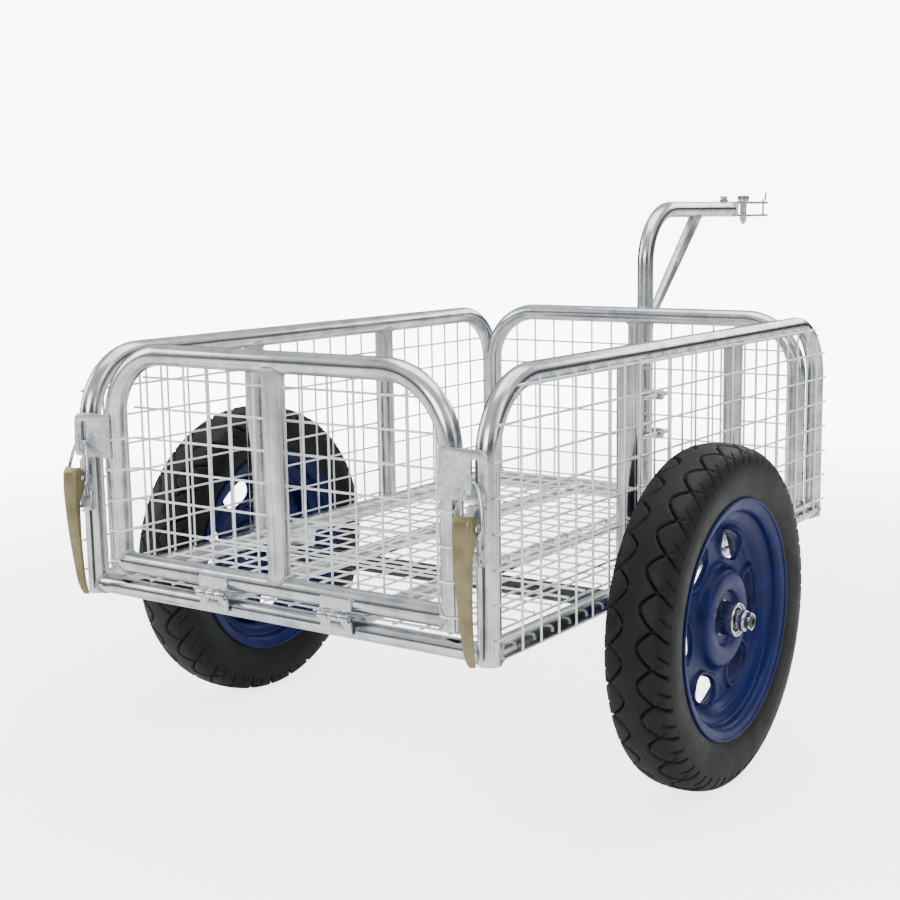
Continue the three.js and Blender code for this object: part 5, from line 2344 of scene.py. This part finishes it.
@dataclass
class TowHead:
    """The tow channel at the end of the drawbar, with its pin, hook and clamp bolt."""

    z: float = 678.0
    start: float = 1177.3
    end: float = 1314.0
    half: float = 13.0
    pin_y: float = 1232.0
    pin_r: float = 6.0

    def channel(self) -> Shell:
        """The channel: two cheeks with round ends and bored for the pin, and a web."""
        shell = Shell()
        angle = round_angles(32)
        bore = np.stack([6.3 * np.cos(angle), self.pin_y + 6.3 * np.sin(angle)], axis=1)
        cheek = rounded([(-14, self.start), (14, self.start), (14, self.end), (-14, self.end)], (1, 1, 9, 9))
        for level in (-self.half + 2, self.half - 2):
            shell.plate(cheek, 4, (0, 0, self.z + level), ACROSS, ALONG, [bore], edge=0.7)
        web = rounded([(-14, -self.half), (14, -self.half), (14, self.half), (-14, self.half)], 2)
        shell.plate(web, 4, (0, self.start + 2.3, self.z), ACROSS, UP, edge=0.7)
        return shell

    def pin(self) -> Shell:
        """The upright pin, with a hexagon head, a collar and a pointed end."""
        low = self.z - self.half - 14
        top = self.z + self.half
        outline = [
            (low, 1.2), (low + 1, 2.2), (low + 6.5, self.pin_r - 0.5), (low + 8, self.pin_r),
            (top + 3, self.pin_r)
        ]
        angle = round_angles(32)
        rows = np.zeros((len(outline), 32, 3))
        for row, (z, r) in zip(rows, outline):
            row[:, 0] = r * np.cos(angle)
            row[:, 1] = self.pin_y + r * np.sin(angle)
            row[:, 2] = z
        shell = Shell()
        shell.lattice(rows, caps=True)
        shell.hexagon((0, self.pin_y, top + 6.4), 2, 17.6, 7.2)
        collar = rounded([(top + 0.4, 5.9), (top + 2.6, 5.9), (top + 2.6, 9.8), (top + 0.4, 9.8)], 0.4, 3)
        shell.turned(collar, (0, self.pin_y, 0), axis=2, sides=36)
        return shell

    def hook(self) -> Shell:
        """The wire hook at the channel's open end."""
        low, high = self.z - self.half, self.z + self.half
        path = arc_path(
            [
                (0, self.end + 3.6, low), (0, self.end + 3.6, high + 3), (0, 1327, high + 3),
                (0, 1329.2, high + 16)
            ],
            3,
            6,
        )
        shell = Shell()
        shell.tube(path, 1.8, ACROSS, sides=16)
        root = rounded([(-4, high - 3), (4, high - 3), (4, high - 0.5), (-4, high - 0.5)], 0.8)
        shell.plate(root, 5, (0, self.end + 1.4, 0), ACROSS, UP, edge=0.4)
        return shell

    def bolt(self) -> Shell:
        """The clamp bolt on top of the drawbar, with its T handle and a weld nut."""
        y = self.start - 25.3
        top = self.z + 20
        shell = Shell()
        shell.rod((0, y, self.z + TUBE_R - 1), (0, y, top), 4, 0.4)
        shell.rod((0, y - 11, top), (0, y + 11, top), 2.5, 0.8)
        shell.hexagon((0, y, self.z + TUBE_R + 2.0), 2, 12, 5)
        return shell

    def build(self, shop: Workshop) -> None:
        """Makes and dresses the tow head's pieces."""
        shop.add("tow_head_channel", self.channel(), "chassis", PRESSING, ["tow_head"])
        shop.add("tow_pin_turned", self.pin(), "tow_pin", ZINC, ["tow_pin"])
        shop.add("tow_hook_wire", self.hook(), "chassis", ZINC, ["tow_hook"])
        shop.add("clamp_bolt_handle", self.bolt(), "chassis", ZINC, ["clamp_bolt"])


# ---- studio ----


@dataclass
class Studio:
    """Camera, floor and soft light.

    Attributes:
        eye: the camera's place in metres of the row frame.
        yaw: degrees that the camera looks to the left of +Y, negative.
        pitch: degrees that it looks down.
        roll: degrees that it leans.
        lens: focal length for a sensor 36 mm wide.
        shift: sideways shift of the lens.
        backdrop: brightness of the background.
        near_glow: brightness added to the floor under the cart.
    """

    eye: Point = (1.0792, -1.8208, 0.6718)
    yaw: float = -33.50
    pitch: float = 9.08
    roll: float = -0.62
    lens: float = 58.75
    shift: float = -0.056
    backdrop: float = 9.0
    near_glow: float = 3.0

    def camera(self) -> None:
        """Sets the camera at the angle that the cart is looked at from."""
        yaw, pitch, roll = (math.radians(v) for v in (self.yaw, self.pitch, self.roll))
        forward = Vector(
            (math.sin(yaw) * math.cos(pitch), math.cos(yaw) * math.cos(pitch), -math.sin(pitch))
        )
        right = Vector((math.cos(yaw), -math.sin(yaw), 0))
        up = right.cross(forward)
        leaned_right = right * math.cos(roll) + up * math.sin(roll)
        leaned_up = up * math.cos(roll) - right * math.sin(roll)
        data = bpy.data.cameras.new("camera")
        data.lens = self.lens
        data.sensor_width = 36
        data.shift_x = self.shift
        data.clip_end = 60
        camera = bpy.data.objects.new("camera", data)
        turn = Matrix((leaned_right, leaned_up, -forward)).transposed().to_4x4()
        camera.matrix_world = Matrix.Translation(self.eye) @ turn
        bpy.context.scene.collection.objects.link(camera)
        bpy.context.scene.camera = camera

    def floor(self) -> None:
        """Lays a wide pale floor."""
        half = 14.0
        mesh = bpy.data.meshes.new("floor")
        mesh.from_pydata(
            [(-half, -half, 0), (half, -half, 0), (half, half, 0), (-half, half, 0)], [], [(0, 1, 2, 3)]
        )
        mesh.materials.append(self.floor_paint())
        ground = bpy.data.objects.new("floor", mesh)
        bpy.context.scene.collection.objects.link(ground)

    def floor_paint(self) -> bpy.types.Material:
        """Matt white paint that brightens into the backdrop away from the cart.

        Returns:
            The floor's material.
        """
        material = bpy.data.materials.new("pale studio floor")
        material.use_nodes = True
        tree = material.node_tree
        tree.nodes.clear()
        paint = add_node(tree, "ShaderNodeBsdfDiffuse", {"Color": linear("#F7F7F7")})
        place = add_node(tree, "ShaderNodeTexCoord").outputs["Object"]
        away = add_node(tree, "ShaderNodeVectorMath", {0: place}, operation="LENGTH").outputs["Value"]
        glow = add_node(
            tree,
            "ShaderNodeMapRange",
            {
                "Value": away, "From Min": 0.6, "From Max": 3.2, "To Min": self.near_glow,
                "To Max": self.backdrop
            },
            interpolation_type="SMOOTHSTEP",
        )
        camera_ray = add_node(tree, "ShaderNodeLightPath").outputs["Is Camera Ray"]
        seen = add_node(tree, "ShaderNodeMath", {0: glow.outputs[0], 1: camera_ray}, operation="MULTIPLY")
        backdrop = add_node(tree, "ShaderNodeEmission", {"Strength": seen.outputs[0]})
        both = add_node(tree, "ShaderNodeAddShader", {0: paint.outputs[0], 1: backdrop.outputs[0]})
        out = tree.nodes.new("ShaderNodeOutputMaterial")
        tree.links.new(both.outputs[0], out.inputs[0])
        return material

    def lamp(self, name: str, place: Point, aim: Point, size: tuple[float, float], power: float) -> None:
        """Hangs one soft box.

        Args:
            name: name of the lamp.
            place: where it hangs.
            aim: what it points at.
            size: its width and height.
            power: watts.
        """
        data = bpy.data.lights.new(name, "AREA")
        data.shape = "RECTANGLE"
        data.size, data.size_y = size
        data.energy = power
        lamp = bpy.data.objects.new(name, data)
        lamp.location = place
        lamp.rotation_euler = (Vector(aim) - Vector(place)).to_track_quat("-Z", "Y").to_euler()
        bpy.context.scene.collection.objects.link(lamp)

    def light(self) -> None:
        """Lights the cart from above and both sides, in a room that is paler overhead."""
        self.lamp("overhead soft box", (0.2, 0.1, 3.2), (0, 0, 0.3), (2.6, 3.4), 95)
        self.lamp("left soft box", (-3.2, -1.8, 1.7), (0, 0, 0.3), (1.6, 2.2), 60)
        self.lamp("right soft box", (3.4, -0.6, 1.9), (0, 0, 0.3), (1.2, 2.6), 26)
        self.lamp("front soft box", (0.6, -3.6, 1.5), (0, 0, 0.3), (1.6, 1.2), 55)
        self.lamp("back soft box", (0.6, 3.8, 2.2), (0, 0, 0.3), (3.0, 1.4), 50)
        world = bpy.data.worlds.new("studio")
        bpy.context.scene.world = world
        world.use_nodes = True
        tree = world.node_tree
        tree.nodes.clear()
        place = add_node(tree, "ShaderNodeTexCoord").outputs["Generated"]
        height = add_node(tree, "ShaderNodeSeparateXYZ", {0: place}).outputs["Z"]
        share = add_node(tree, "ShaderNodeMapRange", {"Value": height, "From Min": -0.3, "From Max": 1.0})
        room = add_node(tree, "ShaderNodeValToRGB", {0: share.outputs[0]})
        ramp = room.color_ramp
        ramp.elements[0].color = linear("#E0E1E3")
        ramp.elements[1].color = linear("#FFFFFF")
        for position, code in ((0.17, "#C9CBCD"), (0.25, "#33363A"), (0.38, "#565A5E"), (0.55, "#F2F3F4")):
            ramp.elements.new(position).color = linear(code)
        lit = add_node(tree, "ShaderNodeBackground", {"Color": room.outputs[0], "Strength": 0.95})
        seen = add_node(tree, "ShaderNodeBackground", {"Color": linear("#FFFFFF"), "Strength": self.backdrop})
        camera_ray = add_node(tree, "ShaderNodeLightPath").outputs["Is Camera Ray"]
        both = add_node(tree, "ShaderNodeMixShader", {0: camera_ray, 1: lit.outputs[0], 2: seen.outputs[0]})
        out = tree.nodes.new("ShaderNodeOutputWorld")
        tree.links.new(both.outputs[0], out.inputs[0])

    def build(self) -> None:
        """Sets up the whole studio."""
        self.camera()
        self.floor()
        self.light()


def main() -> None:
    """Builds the studio and the cart, one sub-assembly after another."""
    logging.basicConfig(level=logging.INFO, format="%(name)s %(message)s")
    Studio().build()
    shop = Workshop()
    assemblies: list[object] = [SideFrame(side, sign) for side, sign in SIDES]
    assemblies += [FrontFrame(), BedFloor(), Axle()]
    assemblies += [Wheel(side, sign) for side, sign in SIDES]
    assemblies += [Tailgate(), Hinge("left", -80.0), Hinge("right", 98.0)]
    assemblies += [Latch(side, sign) for side, sign in SIDES]
    assemblies += [Drawbar(), TowHead()]
    for assembly in assemblies:
        assembly.build(shop)
    log.info("%d pieces", len(shop.made))


if __name__ == "__main__":
    main()
